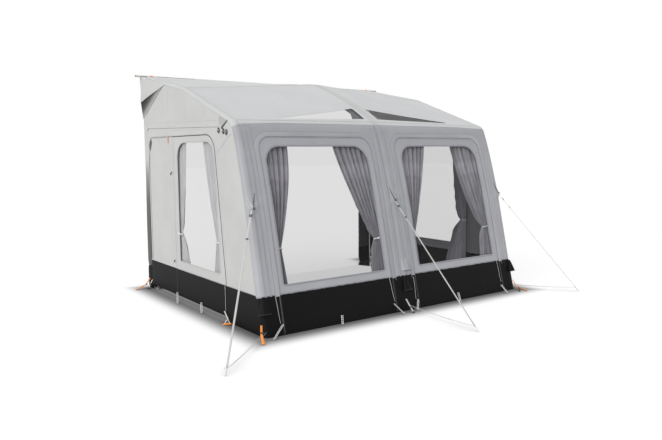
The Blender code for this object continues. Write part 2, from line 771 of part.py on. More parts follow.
def curtain_state(height, top, bottom):
    """Share of the width and the fold depth of a curtain at a height."""
    if height >= TIE_HEIGHT:
        share = (height - TIE_HEIGHT) / (top - TIE_HEIGHT)
        eased = math.sin(share * math.pi / 2)
        width = TIE_WIDTH_SHARE + (1 - TIE_WIDTH_SHARE) * eased
        return width, TIE_DEPTH + (PLEAT_DEPTH - TIE_DEPTH) * eased
    share = (TIE_HEIGHT - height) / (TIE_HEIGHT - bottom)
    eased = math.sin(share * math.pi / 2)
    width = TIE_WIDTH_SHARE + (HEM_WIDTH_SHARE - TIE_WIDTH_SHARE) * eased
    return width, TIE_DEPTH + (HEM_DEPTH - TIE_DEPTH) * eased


def make_curtain(name, fixed_edge, spread, top, bottom, place):
    """One curtain from a fixed edge at the window's side, with folds that run down it."""
    columns = CURTAIN_FOLDS * FOLD_POINTS
    rows = {top, bottom, TIE_HEIGHT}
    rows |= {point.y for point in SIDE_PROFILE[:ARC_START] if bottom < point.y < top}
    rows = sorted(rows, reverse=True)
    clear = CURTAIN_CLOTH_THICKNESS / 2 + GAP
    shape = bmesh.new()
    grid = []
    for height in rows:
        width, depth = curtain_state(height, top, bottom)
        line = []
        for column in range(columns + 1):
            share = column / columns
            wave = (1 - math.cos(2 * math.pi * CURTAIN_FOLDS * share)) / 2
            along = fixed_edge + spread * width * share
            line.append(shape.verts.new(place(along, height, clear + depth * wave)))
        grid.append(line)
    for upper, lower in zip(grid, grid[1:]):
        for column in range(columns):
            shape.faces.new((upper[column], lower[column], lower[column + 1], upper[column + 1]))
    mesh = bpy.data.meshes.new(name)
    shape.to_mesh(mesh)
    shape.free()
    obj = add_object(name, mesh, CURTAIN_CLOTH)
    cloth = obj.modifiers.new("thickness", "SOLIDIFY")
    cloth.thickness = CURTAIN_CLOTH_THICKNESS
    cloth.offset = 0
    shade_round(mesh, math.radians(80))
    return obj


def front_place(x, height, depth):
    """World point at a depth behind the front wall's inner face."""
    point = at_height(offset_path(SIDE_PROFILE, FABRIC + depth), height)
    return world(x, point.x, point.y)


def side_place(side):
    """Function that gives a world point at a depth behind one side wall's inner face."""
    return lambda u, height, depth: world(side * (HALF_WIDTH - FABRIC - depth), u, height)


def make_curtains():
    """A pair of curtains inside each of the four windows."""
    top = WINDOW_TOP + CURTAIN_LAP
    bottom = WINDOW_BOTTOM - CURTAIN_LAP
    for word, side in SIDES.items():
        front_pair = {
            "inner": (side * (WINDOW_INNER - CURTAIN_LAP), side * FRONT_INNER_SPREAD),
            "outer": (side * (WINDOW_OUTER + CURTAIN_LAP), -side * FRONT_OUTER_SPREAD),
        }
        for edge, (fixed, spread) in front_pair.items():
            name = f"front_curtain_{word}_{edge}"
            make_curtain(name, fixed, spread, top, bottom, front_place)
        side_pair = {
            "rear": (SIDE_WINDOW_REAR - CURTAIN_LAP, SIDE_SPREAD),
            "front": (SIDE_WINDOW_FRONT + CURTAIN_LAP, -SIDE_SPREAD),
        }
        side_top = SIDE_WINDOW_TOP + CURTAIN_LAP
        for edge, (fixed, spread) in side_pair.items():
            name = f"side_curtain_{word}_{edge}"
            make_curtain(name, fixed, spread, side_top, bottom, side_place(side))


# Hoods over the valves at the foot of each leg, and over the cable entry
VALVE_HOOD_SEAM = 0.016
VALVE_HOOD_TOP = MUDWALL_HEIGHT - VALVE_HOOD_SEAM
VALVE_HOOD_DROP = 0.14
CABLE_HOOD_RISE = 0.164
CABLE_HOOD_TOP = MUDWALL_HEIGHT + CABLE_HOOD_RISE
CABLE_HOOD_DROP = 0.125
HOOD_TOP_RADIUS = 0.012
HOOD_LOW_RADIUS = 0.056
HOOD_FROM_SIDE = 0.03
CORNER_HOOD_X = HALF_WIDTH - HOOD_FROM_SIDE
CABLE_HOOD_X = 0.035
HOOD_SIDES = 16


def surface_frame(height):
    """Place and run of the front wall's outer face at a height."""
    place = at_height(SIDE_PROFILE, height)
    ahead = at_height(SIDE_PROFILE, height - VALVE_HOOD_DROP)
    return place, (place - ahead).normalized()


def make_hood(name, x, top_height, drop, material):
    """Half a cone, open below, that hangs from its top edge on the front wall."""
    shape = bmesh.new()
    bmesh.ops.create_cone(
        shape,
        cap_ends=False,
        segments=HOOD_SIDES,
        radius1=HOOD_LOW_RADIUS,
        radius2=HOOD_TOP_RADIUS,
        depth=drop,
    )
    bmesh.ops.bisect_plane(
        shape,
        geom=shape.verts[:] + shape.edges[:] + shape.faces[:],
        plane_co=(0, 0, 0),
        plane_no=(0, 1, 0),
        clear_outer=True,
    )
    bmesh.ops.translate(shape, verts=shape.verts, vec=(0, 0, -drop / 2))
    mesh = bpy.data.meshes.new(name)
    shape.to_mesh(mesh)
    shape.free()
    obj = add_object(name, mesh, material)
    wall = obj.modifiers.new("thickness", "SOLIDIFY")
    wall.thickness = FABRIC
    wall.offset = -1
    place, run = surface_frame(top_height)
    out = Vector((run.y, -run.x)) * 2 * GAP
    obj.location = world(x, place.x + out.x, place.y + out.y)
    obj.rotation_euler = (-math.atan2(-run.x, run.y), 0, 0)
    shade_round(mesh)
    return obj


def make_hoods():
    """Black hoods at the three leg feet and a wall-coloured one above the centre foot."""
    places = {"left": -CORNER_HOOD_X, "centre": 0, "right": CORNER_HOOD_X}
    for word, x in places.items():
        make_hood(f"valve_hood_{word}", x, VALVE_HOOD_TOP, VALVE_HOOD_DROP, MUD_CLOTH)
    make_hood("cable_hood", CABLE_HOOD_X, CABLE_HOOD_TOP, CABLE_HOOD_DROP, WALL_CLOTH)


# Inflation valve under the centre hood
VALVE_HEIGHT = 0.25
VALVE_RADIUS = 0.02
VALVE_REACH = 0.022


def make_valve():
    """A screw-capped valve that stands on the mudwall under the centre hood."""
    cap = VALVE_RADIUS * 3 / 4
    profile = [
        (0, VALVE_REACH),
        (cap, VALVE_REACH),
        (cap, VALVE_REACH / 3),
        (VALVE_RADIUS, VALVE_REACH / 4),
        (VALVE_RADIUS, 0),
        (0, 0),
    ]
    valve = turned("inflation_valve", profile, HARDWARE, False)
    place, run = surface_frame(VALVE_HEIGHT)
    out = Vector((run.y, -run.x)) * 2 * GAP
    valve.location = world(0, place.x + out.x, place.y + out.y)
    valve.rotation_euler = (math.pi / 2 - math.atan2(-run.x, run.y), 0, 0)


# Storm straps, their buckles, and the ground pegs with the cords back to the hem
STRAP_WIDTH = 0.016
STRAP_THICKNESS = 0.0016
CENTRE_STANDOFF = 0.002
LEFT_STANDOFF = 0.0006
RIGHT_STANDOFF = 0.0018
BUCKLE_WIDTH = 0.028
BUCKLE_LENGTH = 0.03
BUCKLE_THICKNESS = 0.008
BUCKLE_DISTANCE = 0.11
PEG_RADIUS = 0.006
PEG_LENGTH = 0.05
CORD_RADIUS = 0.002
CORD_SLEEVE = 0.004
GUY_HEIGHT = 1.085
CENTRE_GUY_X = 0.03
LEFT_PEG_OUT = 0.694
LEFT_PEG_AHEAD = 0.627
RIGHT_PEG_OUT = 0.44
RIGHT_PEG_AHEAD = 0.52
CENTRE_PEG_AHEAD = 0.944
CENTRE_PEG_X = -0.064
HEM_TAB_HEIGHT = 0.05


def corner_point(side, height, out):
    """World point outside the rounded corner, on its middle line, and its outward direction."""
    drawn = CORNER_RADIUS * (1 - math.sqrt(0.5))
    point = at_height(offset_path(SIDE_PROFILE, drawn), height)
    outward = Vector((side, -1, 0)).normalized()
    return world(side * (HALF_WIDTH - drawn), point.x, point.y) + outward * out


def front_point(x, height, out):
    """World point outside the front wall."""
    place, run = surface_frame(height)
    return world(x, place.x, place.y) + world(0, run.y, -run.x) * out


def aligned_box(name, size, start, axis, material):
    """A box whose length runs along an axis from a start point and whose width is level."""
    width = Vector((0, 0, 1)).cross(axis).normalized()
    face = axis.cross(width).normalized()
    turn = Matrix((width, face, axis)).transposed().to_4x4()
    shape = bmesh.new()
    bmesh.ops.create_cube(shape, size=1)
    bmesh.ops.scale(shape, verts=shape.verts, vec=size)
    bmesh.ops.translate(shape, verts=shape.verts, vec=(0, 0, size[2] / 2))
    mesh = bpy.data.meshes.new(name)
    shape.to_mesh(mesh)
    shape.free()
    collection = PARTS if material else CUTTERS
    obj = add_object(name, mesh, material, collection)
    obj.matrix_world = Matrix.Translation(start) @ turn
    return obj


def make_guy(word, top, peg, tab):
    """A storm strap from the wall to a peg, its buckle, and the peg with its cord to the hem."""
    run = (peg - top).normalized()
    joint = peg - run * PEG_LENGTH
    back = (tab - joint).normalized()
    fork = math.sin(back.angle(-run))
    strap_end = joint - run * (CORD_SLEEVE + STRAP_THICKNESS / 2 + GAP) / fork
    length = (strap_end - top).length
    strap_size = (STRAP_WIDTH, STRAP_THICKNESS, length)
    aligned_box(f"guy_strap_{word}", strap_size, top, run, WEBBING)
    seat = top + run * BUCKLE_DISTANCE
    buckle_size = (BUCKLE_WIDTH, BUCKLE_THICKNESS, BUCKLE_LENGTH)
    buckle = aligned_box(f"strap_buckle_{word}", buckle_size, seat, run, HARDWARE)
    slot_size = (STRAP_WIDTH + 2 * GAP, STRAP_THICKNESS + 2 * GAP, 2 * BUCKLE_LENGTH)
    slot = aligned_box(f"slot_{word}", slot_size, seat - run * BUCKLE_LENGTH / 2, run, None)
    boolean(buckle, slot, "DIFFERENCE")
    sleeve_end = joint + back * 3 * PEG_RADIUS
    path = [peg, joint, sleeve_end, sleeve_end + back * PEG_RADIUS, tab]
    radii = [PEG_RADIUS, CORD_SLEEVE, CORD_SLEEVE, CORD_RADIUS, CORD_RADIUS]
    tube(f"guy_anchor_{word}", path, PEG_RADIUS, PEG_ORANGE, 8, radii)


def make_guys():
    """Three storm straps: one at each front corner and one at the centre leg."""
    places = {
        "left": (LEFT_PEG_OUT, LEFT_PEG_AHEAD, LEFT_STANDOFF),
        "right": (RIGHT_PEG_OUT, RIGHT_PEG_AHEAD, RIGHT_STANDOFF),
    }
    for word, side in SIDES.items():
        out, ahead, standoff = places[word]
        top = corner_point(side, GUY_HEIGHT, standoff)
        peg = world(side * (HALF_WIDTH + out), DEPTH + ahead, PEG_RADIUS)
        tab = corner_point(side, HEM_TAB_HEIGHT, CORD_RADIUS + GAP)
        make_guy(word, top, peg, tab)
    top = front_point(CENTRE_GUY_X, GUY_HEIGHT, CENTRE_STANDOFF)
    peg = world(CENTRE_PEG_X, DEPTH + CENTRE_PEG_AHEAD, PEG_RADIUS)
    tab = front_point(0, HEM_TAB_HEIGHT, CORD_RADIUS + GAP)
    make_guy("centre", top, peg, tab)


# Door zip sliders
SLIDER_SIZE = (0.006, 0.022, 0.014)
SLIDER_RISE = 0.006
SLIDER_FROM_HINGE = 0.12
SLIDER_INSET = 0.002
TAB_LENGTH = 0.06


def make_sliders():
    """A slider with a pull tab on the top run of each door's zip."""
    for word, side in SIDES.items():
        shape = bmesh.new()
        bmesh.ops.create_cube(shape, size=1)
        bmesh.ops.scale(shape, verts=shape.verts, vec=SLIDER_SIZE)
        bmesh.ops.translate(shape, verts=shape.verts, vec=(0, 0, -SLIDER_SIZE[2] / 2))
        foot = [face for face in shape.faces if face.normal.z < -0.5]
        bmesh.ops.inset_individual(shape, faces=foot, thickness=SLIDER_INSET)
        drawn = bmesh.ops.extrude_face_region(shape, geom=foot)
        moved = [item for item in drawn["geom"] if isinstance(item, bmesh.types.BMVert)]
        bmesh.ops.translate(shape, verts=moved, vec=(0, 0, -TAB_LENGTH))
        bmesh.ops.delete(shape, geom=foot, context="FACES_ONLY")
        mesh = bpy.data.meshes.new(f"door_zip_{word}")
        shape.to_mesh(mesh)
        shape.free()
        obj = add_object(f"door_zip_{word}", mesh, PEG_ORANGE)
        x = side * (HALF_WIDTH + GAP + SLIDER_SIZE[0] / 2)
        obj.location = world(x, DOOR_HINGE - SLIDER_FROM_HINGE, DOOR_TOP + SLIDER_RISE)


def hang(axis_name, place, names):
    """Hang pieces on an empty that stands on their joint's axis."""
    pivot = bpy.data.objects.new(axis_name, None)
    PARTS.objects.link(pivot)
    pivot.location = place
    bpy.context.view_layer.update()
    for name in names:
        child = bpy.data.objects[name]
        child.parent = pivot
        child.matrix_parent_inverse = pivot.matrix_world.inverted()


def hang_moving_pieces():
    """Give the folding front panels and the swinging doors their axes."""
    for word, side in SIDES.items():
        names = [f"front_{kind}_{word}" for kind in ("panel", "window", "mudwall")]
        names += [f"front_curtain_{word}_{edge}" for edge in ("inner", "outer")]
        middle = side * (ZIP_INNER + ZIP_OUTER) / 2
        hang(f"front_panel_axis_{word}", world(middle, DEPTH, 0), names)
        names = [f"side_door_{word}", f"door_mudwall_{word}", f"door_zip_{word}"]
        hang(f"door_axis_{word}", world(side * HALF_WIDTH, DOOR_HINGE, 0), names)


def centre_footprint():
    """Move everything so that the origin is under the middle of the awning, guys apart."""
    bpy.context.view_layer.update()
    graph = bpy.context.evaluated_depsgraph_get()
    places = []
    for obj in PARTS.objects:
        if obj.type == "EMPTY" or obj.name.startswith(("guy_", "strap_")):
            continue
        seen = obj.evaluated_get(graph)
        places += [(seen.matrix_world @ Vector(corner)).y for corner in seen.bound_box]
    shift = Vector((0, -(min(places) + max(places)) / 2, 0))
    for obj in list(PARTS.objects) + list(CUTTERS.objects):
        if not obj.parent:
            obj.location = obj.location + shift
    bpy.context.view_layer.update()
    print(f"forward shift of the footprint: {shift.y:.6f} m")


make_front()
make_sides()
make_roof()
make_beams()
make_rail()
make_rear_edges()
make_rear_poles()
make_curtains()
make_hoods()
make_valve()
make_guys()
make_sliders()
hang_moving_pieces()
centre_footprint()
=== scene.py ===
import math

import bmesh
import bpy
import numpy as np
from mathutils import Matrix, Vector, geometry, noise


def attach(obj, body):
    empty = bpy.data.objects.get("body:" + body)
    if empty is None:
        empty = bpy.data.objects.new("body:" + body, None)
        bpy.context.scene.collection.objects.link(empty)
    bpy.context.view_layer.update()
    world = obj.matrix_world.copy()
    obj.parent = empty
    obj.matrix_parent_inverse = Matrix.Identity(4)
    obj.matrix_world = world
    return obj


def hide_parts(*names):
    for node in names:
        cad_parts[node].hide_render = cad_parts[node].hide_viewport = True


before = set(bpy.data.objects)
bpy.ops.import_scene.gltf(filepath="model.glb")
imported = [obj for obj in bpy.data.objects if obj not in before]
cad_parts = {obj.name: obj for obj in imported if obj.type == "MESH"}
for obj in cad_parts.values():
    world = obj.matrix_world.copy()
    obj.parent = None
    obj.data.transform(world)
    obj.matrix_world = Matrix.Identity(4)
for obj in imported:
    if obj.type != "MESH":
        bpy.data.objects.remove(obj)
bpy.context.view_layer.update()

# Camera
# It stands at head height in front of the left corner, so that the left wall and the whole
# front wall show. Its place and focal length were solved from corners and hems.
VIEW_PLACE = (-4.348, -5.975, 1.568)
VIEW_TURN = math.radians(36.09)
VIEW_DIP = math.radians(5.957)
VIEW_ROLL = math.radians(-0.411)
SENSOR_MM = 36
PICTURE_WIDTH = 662
FOCAL_PIXELS = 646.9


def new_object(name, data):
    """An object with its data, linked into the scene."""
    made = bpy.data.objects.new(name, data)
    bpy.context.collection.objects.link(made)
    return made


view_turn = Matrix.Rotation(-VIEW_TURN, 4, "Z") @ Matrix.Rotation(math.pi / 2 - VIEW_DIP, 4, "X")
camera = new_object("camera", bpy.data.cameras.new("camera"))
camera.data.sensor_width = SENSOR_MM
camera.data.lens = SENSOR_MM * FOCAL_PIXELS / PICTURE_WIDTH
camera.data.clip_end = 200
camera.matrix_world = (Matrix.Translation(VIEW_PLACE) @ view_turn @ Matrix.Rotation(VIEW_ROLL, 4, "Z"))
bpy.context.scene.camera = camera

# Studio
# A pale floor, a white surround, and one wide lamp from the front left that lights the roof, the
# left wall and the front wall about equally. The floor has the awning's soft shadow: it darkens
# under the roof and within a hand's breadth of the hems, and it fades to white further out.
FLOOR_HALF = 60
FLOOR_COLOUR = "#d4d4d4"
# The tone that the camera sees, without the lift
FLOOR_SEEN = "#8f8f8f"
FLOOR_LIFT = 0.78
UNDER_ROOF = [
    ("GREATER_THAN", "X", -1.64),
    ("LESS_THAN", "X", 1.64),
    ("GREATER_THAN", "Y", -1.31),
    ("LESS_THAN", "Y", 1.03),
]
UNDER_SHADE = 0.1
HEM_SHADE = 0.22
HEM_SHADE_REACH = 0.3
SIDE_HEM = 1.66
FRONT_HEM = -1.335
REAR_END = 1.3
CONTACT_REACH = 0.25
CONTACT_POWER = 1.2
SURROUND_LIGHT = 0.62
LAMP_STRENGTH = 1.9
LAMP_ANGLE = math.radians(60)
LAMP_FROM = (-0.85, -0.22, 0.55)


def linear(code):
    """Linear colour of an sRGB hex code."""
    value = int(code.lstrip("#"), 16)
    parts = [(value >> shift & 255) / 255 for shift in (16, 8, 0)]
    curved = [p / 12.92 if p <= 0.04045 else ((p + 0.055) / 1.055) ** 2.4 for p in parts]
    return (*curved, 1)


def add_node(tree, kind, inputs=None, **settings):
    """A node with its settings, and its inputs set to values or fed from sockets."""
    node = tree.nodes.new(kind)
    for name, value in settings.items():
        setattr(node, name, value)
    for name, value in (inputs or {}).items():
        if isinstance(value, bpy.types.NodeSocket):
            tree.links.new(value, node.inputs[name])
        else:
            node.inputs[name].default_value = value
    return node


def empty_tree(owner):
    """The node tree of a material or world, without its first nodes."""
    owner.use_nodes = True
    owner.node_tree.nodes.clear()
    return owner.node_tree


def straight_rays(tree):
    """1 for a ray that shows the background as it is: camera, mirror and glass rays."""
    light = add_node(tree, "ShaderNodeLightPath")
    seen = add_node(
        tree, "ShaderNodeMath", {0: light.outputs["Is Camera Ray"], 1: light.outputs["Is Glossy Ray"]},
        operation="ADD"
    )
    return add_node(
        tree, "ShaderNodeMath", {0: seen.outputs[0], 1: light.outputs["Is Transmission Ray"]},
        operation="ADD", use_clamp=True
    ).outputs[0]


world = bpy.data.worlds.new("studio_surround")
bpy.context.scene.world = world
tree = empty_tree(world)
white = add_node(tree, "ShaderNodeBackground", {"Strength": 1.0})
soft = add_node(tree, "ShaderNodeBackground", {"Strength": SURROUND_LIGHT})
white.inputs["Color"].default_value = soft.inputs["Color"].default_value = (1, 1, 1, 1)
both = add_node(tree, "ShaderNodeMixShader", {0: straight_rays(tree)})
tree.links.new(soft.outputs[0], both.inputs[1])
tree.links.new(white.outputs[0], both.inputs[2])
add_node(tree, "ShaderNodeOutputWorld", {"Surface": both.outputs[0]})

floor_mesh = bpy.data.meshes.new("studio_floor")
floor_mesh.from_pydata(
    [(x * FLOOR_HALF, y * FLOOR_HALF, 0) for x, y in ((-1, -1), (1, -1), (1, 1), (-1, 1))], [],
    [(0, 1, 2, 3)]
)
floor = new_object("studio_floor", floor_mesh)
floor_paint = bpy.data.materials.new("matt_studio_floor")
tree = empty_tree(floor_paint)
open_sky = add_node(tree, "ShaderNodeAmbientOcclusion", {"Distance": CONTACT_REACH}, samples=8)
contact = add_node(
    tree, "ShaderNodeMath", {0: open_sky.outputs["AO"], 1: CONTACT_POWER}, operation="POWER"
).outputs[0]
place = add_node(tree, "ShaderNodeTexCoord").outputs["Object"]
axes = add_node(tree, "ShaderNodeSeparateXYZ", {"Vector": place})
across = add_node(tree, "ShaderNodeMath", {0: axes.outputs["X"]}, operation="ABSOLUTE").outputs[0]
beside = add_node(tree, "ShaderNodeMath", {0: across, 1: SIDE_HEM}, operation="SUBTRACT").outputs[0]
before = add_node(
    tree, "ShaderNodeMath", {0: FRONT_HEM, 1: axes.outputs["Y"]}, operation="SUBTRACT"
).outputs[0]
behind = add_node(
    tree, "ShaderNodeMath", {0: axes.outputs["Y"], 1: REAR_END}, operation="SUBTRACT"
).outputs[0]
edge = add_node(tree, "ShaderNodeMath", {0: beside, 1: before}, operation="MAXIMUM").outputs[0]
away = add_node(tree, "ShaderNodeMath", {0: edge}, operation="ABSOLUTE").outputs[0]
away = add_node(tree, "ShaderNodeMath", {0: away, 1: behind}, operation="MAXIMUM").outputs[0]
hem_shade = add_node(
    tree, "ShaderNodeMapRange", {"Value": away, "From Max": HEM_SHADE_REACH, "To Min": HEM_SHADE},
    interpolation_type="SMOOTHSTEP"
).outputs[0]
contact = add_node(tree, "ShaderNodeMath", {0: contact, 1: hem_shade}, operation="MULTIPLY").outputs[0]
shade = UNDER_SHADE
for test, axis, limit in UNDER_ROOF:
    side_test = add_node(tree, "ShaderNodeMath", {0: axes.outputs[axis], 1: limit}, operation=test)
    within = {0: side_test.outputs[0], 1: shade}
    shade = add_node(tree, "ShaderNodeMath", within, operation="MULTIPLY").outputs[0]
lit = add_node(tree, "ShaderNodeMath", {0: 1.0, 1: shade}, operation="SUBTRACT").outputs[0]
lift_share = add_node(tree, "ShaderNodeMath", {0: contact, 1: FLOOR_LIFT}, operation="MULTIPLY").outputs[0]
lift_share = add_node(tree, "ShaderNodeMath", {0: lift_share, 1: lit}, operation="MULTIPLY").outputs[0]
lifted = add_node(tree, "ShaderNodeMath", {0: straight_rays(tree), 1: lift_share}, operation="MULTIPLY")
tone = add_node(
    tree, "ShaderNodeMix", {0: straight_rays(tree), 6: linear(FLOOR_COLOUR), 7: linear(FLOOR_SEEN)},
    data_type="RGBA"
).outputs[2]
pale = add_node(tree, "ShaderNodeMix", {0: contact, 6: (0, 0, 0, 1), 7: tone}, data_type="RGBA").outputs[2]
matt = add_node(tree, "ShaderNodeBsdfDiffuse", {"Color": pale})
lift = add_node(tree, "ShaderNodeEmission", {"Strength": lifted.outputs[0]})
shown = add_node(tree, "ShaderNodeAddShader", {0: matt.outputs[0], 1: lift.outputs[0]})
add_node(tree, "ShaderNodeOutputMaterial", {"Surface": shown.outputs[0]})
floor_mesh.materials.append(floor_paint)

lamp = new_object("studio_lamp", bpy.data.lights.new("studio_lamp", "SUN"))
lamp.data.energy = LAMP_STRENGTH
lamp.data.angle = LAMP_ANGLE
lamp.rotation_euler = Vector(LAMP_FROM).to_track_quat("Z", "Y").to_euler()
bpy.context.scene.view_settings.view_transform = "Standard"

# Storm straps
# Three flat polyester straps run from the front wall to steel pegs. Each has a ladder-lock
# buckle near the wall, and two thin cords tie its lower end back to the foot of the wall.
STRAP_WIDTH = 0.016
STRAP_THICKNESS = 0.0016
STRAP_RINGS = 60
STRAP_TWEED_MM = 3.5
# Shares of half the width and half the thickness round a strap's section
STRAP_ROUND = ((-1, 0), (-0.94, -1), (0, -1), (0.94, -1), (1, 0), (0.94, 1), (0, 1), (-0.94, 1))
CORD_WIDTH = 0.003
CORD_APART = 0.012
CORD_SAG = 0.01
PEG_ROD = 0.004
UP = Vector((0, 0, 1))
GUYS = {
    "left": {
        "top": (-1.613, -1.0613, 1.087),
        "locks": (0.065, 0.33),
        "joint": (-2.32155, -1.92151, 0.04035),
        "peg": (-2.344, -1.95007, 0.006),
        "tab": (-1.63932, -1.29908, 0.05),
    },
    "centre": {
        "top": (0.03, -1.06617, 1.08547),
        "locks": (0.075, 0.235),
        "joint": (-0.06109, -2.22995, 0.03937),
        "peg": (-0.064, -2.26707, 0.006),
        "tab": (0.0, -1.31238, 0.05059),
    },
    "right": {
        "top": (1.63968, -1.05349, 1.085),
        "locks": (0.075, 0.2),
        "joint": (2.07404, -1.81509, 0.04424),
        "peg": (2.09, -1.84307, 0.006),
        "tab": (1.63932, -1.29908, 0.05),
    },
}


def cloth_finish(name, light, dark, thread_mm, roughness, sheen, relief_mm, patch_m=0.25, ior=1.5):
    """Woven cloth: threads across and along the UV map in metres, and soft clouding.

    The threads are drawn coarser than real ones, which are under half a millimetre and would not
    show. The clouding is the slight change of tone that a hanging cloth has.
    """
    made = bpy.data.materials.new(name)
    tree = empty_tree(made)
    place = add_node(tree, "ShaderNodeTexCoord").outputs["UV"]
    scale = math.pi / 10 / (thread_mm / 1000)
    weft, warp = (
        add_node(
            tree, "ShaderNodeTexWave", {"Vector": place, "Scale": scale, "Distortion": 0.6, "Detail": 1.0},
            bands_direction=direction
        ).outputs["Fac"]
        for direction in ("X", "Y")
    )
    weave = add_node(tree, "ShaderNodeMath", {0: weft, 1: warp}, operation="MULTIPLY").outputs[0]
    clouds = add_node(
        tree, "ShaderNodeTexNoise",
        {"Vector": place, "Scale": 1 / patch_m, "Detail": 4.0, "Roughness": 0.55}
    ).outputs["Fac"]
    tone = add_node(
        tree, "ShaderNodeMapRange", {"Value": clouds, "From Min": 0.3, "From Max": 0.7}
    ).outputs[0]
    grain = add_node(tree, "ShaderNodeMath", {0: weave, 1: 0.35}, operation="MULTIPLY").outputs[0]
    share = add_node(
        tree, "ShaderNodeMath", {0: tone, 1: grain}, operation="ADD", use_clamp=True
    ).outputs[0]
    colour = add_node(
        tree, "ShaderNodeMix", {0: share, 6: linear(light), 7: linear(dark)}, data_type="RGBA"
    ).outputs[2]
    bump = add_node(
        tree, "ShaderNodeBump", {"Height": weave, "Strength": 0.5, "Distance": relief_mm / 1000}
    ).outputs[0]
    shader = add_node(
        tree, "ShaderNodeBsdfPrincipled",
        {"Base Color": colour, "Roughness": roughness, "IOR": ior, "Sheen Weight": sheen, "Normal": bump}
    )
    add_node(tree, "ShaderNodeOutputMaterial", {"Surface": shader.outputs[0]})
    return made


def moulded_finish(name, colour, roughness, grain_mm=0.8, metallic=0.0):
    """Moulded plastic or drawn metal: one colour with a fine grain in its gloss and surface."""
    made = bpy.data.materials.new(name)
    tree = empty_tree(made)
    place = add_node(tree, "ShaderNodeTexCoord").outputs["Object"]
    grain = add_node(
        tree, "ShaderNodeTexNoise", {"Vector": place, "Scale": 1000 / grain_mm / 4, "Detail": 3.0}
    ).outputs["Fac"]
    gloss = add_node(
        tree, "ShaderNodeMapRange", {"Value": grain, "To Min": roughness - 0.08, "To Max": roughness + 0.08}
    ).outputs[0]
    bump = add_node(
        tree, "ShaderNodeBump", {"Height": grain, "Strength": 0.25, "Distance": grain_mm / 8000}
    ).outputs[0]
    shader = add_node(
        tree, "ShaderNodeBsdfPrincipled",
        {"Base Color": linear(colour), "Roughness": gloss, "Metallic": metallic, "Normal": bump}
    )
    add_node(tree, "ShaderNodeOutputMaterial", {"Surface": shader.outputs[0]})
    return made


# Woven polyester webbing: off-white, dull, with a coarse rib that shows as a tweed
webbing = cloth_finish("woven_polyester_webbing", "#cfcfcd", "#b9b9b7", STRAP_TWEED_MM, 0.8, 0.15, 0.3)
# Acetal buckles are moulded black with a satin grain
black_acetal = moulded_finish("moulded_black_acetal", "#151515", 0.42)
# Zinc-plated steel wire: bright but slightly dulled
plated_steel = moulded_finish("zinc_plated_steel", "#c9c9c7", 0.35, 0.5, 1.0)


def finish_mesh(name, points, faces, material, places=None, smooth=True):
    """An object at the origin from points and faces, with a UV place for each point."""
    mesh = bpy.data.meshes.new(name)
    mesh.from_pydata([tuple(point) for point in points], [], faces)
    if places is not None:
        flat = np.array(places, np.float32)
        corner = np.empty(len(mesh.loops), np.int32)
        mesh.loops.foreach_get("vertex_index", corner)
        mesh.uv_layers.new(name="cloth").data.foreach_set("uv", flat[corner].ravel())
    mesh.materials.append(material)
    if smooth:
        mesh.shade_smooth()
    return new_object(name, mesh)


def outward(made):
    """Turns the faces of a closed mesh outwards."""
    fix = bmesh.new()
    fix.from_mesh(made.data)
    bmesh.ops.recalc_face_normals(fix, faces=fix.faces)
    fix.to_mesh(made.data)
    fix.free()
    return made


def carried(made, body, slot, node=None):
    """Rides a piece on its body and hides the CAD node that it stands for. Its slot is not used."""
    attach(made, body)
    if node:
        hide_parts(node)
    return made


def thickened(made, thickness, offset=0):
    """Gives a sheet its thickness: about its middle, or inwards where the offset is -1."""
    wall = made.modifiers.new("thickness", "SOLIDIFY")
    wall.thickness = thickness
    wall.offset = offset
    return wall


def around(count):
    """Evenly spaced angles of a whole turn."""
    return [2 * math.pi * corner / count for corner in range(count)]


def tube(name, rings, material, places=None, smooth=True):
    """A closed tube through rings of equal length, with filled ends."""
    count = len(rings[0])
    points = [point for ring in rings for point in ring]
    faces = []
    for row in range(len(rings) - 1):
        for side in range(count):
            a, b = row * count + side, row * count + (side + 1) % count
            faces.append((a, b, b + count, a + count))
    faces.append(tuple(range(count))[::-1])
    last = len(points) - count
    faces.append(tuple(range(last, last + count)))
    return finish_mesh(name, points, faces, material, places, smooth)


def along(points, count):
    """Points spread evenly along a line of points, with the distance of each."""
    line = np.array([tuple(point) for point in points], float)
    steps = np.linalg.norm(np.diff(line, axis=0), axis=1)
    reach = np.concatenate([[0], np.cumsum(steps)])
    at = np.linspace(0, reach[-1], count)
    spread = [np.interp(at, reach, line[:, axis]) for axis in range(3)]
    return [Vector(place) for place in zip(*spread)], at


def beside_run(run, face=None):
    """The ways across a run and out from it; face is the way its broad side looks."""
    across = run.cross(face or UP).normalized()
    return across, across.cross(run).normalized()


def flat_strap(name, points, width, thickness, face, material, count):
    """A flat strap along a line, with rounded edges; face is the way its broad side looks."""
    line, at = along(points, count)
    rings, places = [], []
    for index, place in enumerate(line):
        run = (line[min(index + 1, count - 1)] - line[max(index - 1, 0)]).normalized()
        across, out = beside_run(run, face)
        ring = []
        for share, height in STRAP_ROUND:
            ring.append(place + across * share * width / 2 + out * height * thickness / 2)
            places.append((share * width / 2, at[index]))
        rings.append(ring)
    return tube(name, rings, material, places)


def round_cord(name, points, width, material, count, sides=8):
    """A round cord or rod along a line, swept without twist."""
    line, at = along(points, count)
    rings, places = [], []
    face = UP
    for index, place in enumerate(line):
        run = (line[min(index + 1, count - 1)] - line[max(index - 1, 0)]).normalized()
        across = run.cross(face)
        across = across.normalized() if across.length > 0.05 else Vector((1, 0, 0))
        face = across.cross(run).normalized()
        ring = []
        for side in range(sides):
            angle = 2 * math.pi * side / sides
            ring.append(place + (across * math.cos(angle) + face * math.sin(angle)) * width / 2)
            places.append((side / sides * width * 3, at[index]))
        rings.append(ring)
    return tube(name, rings, material, places), line


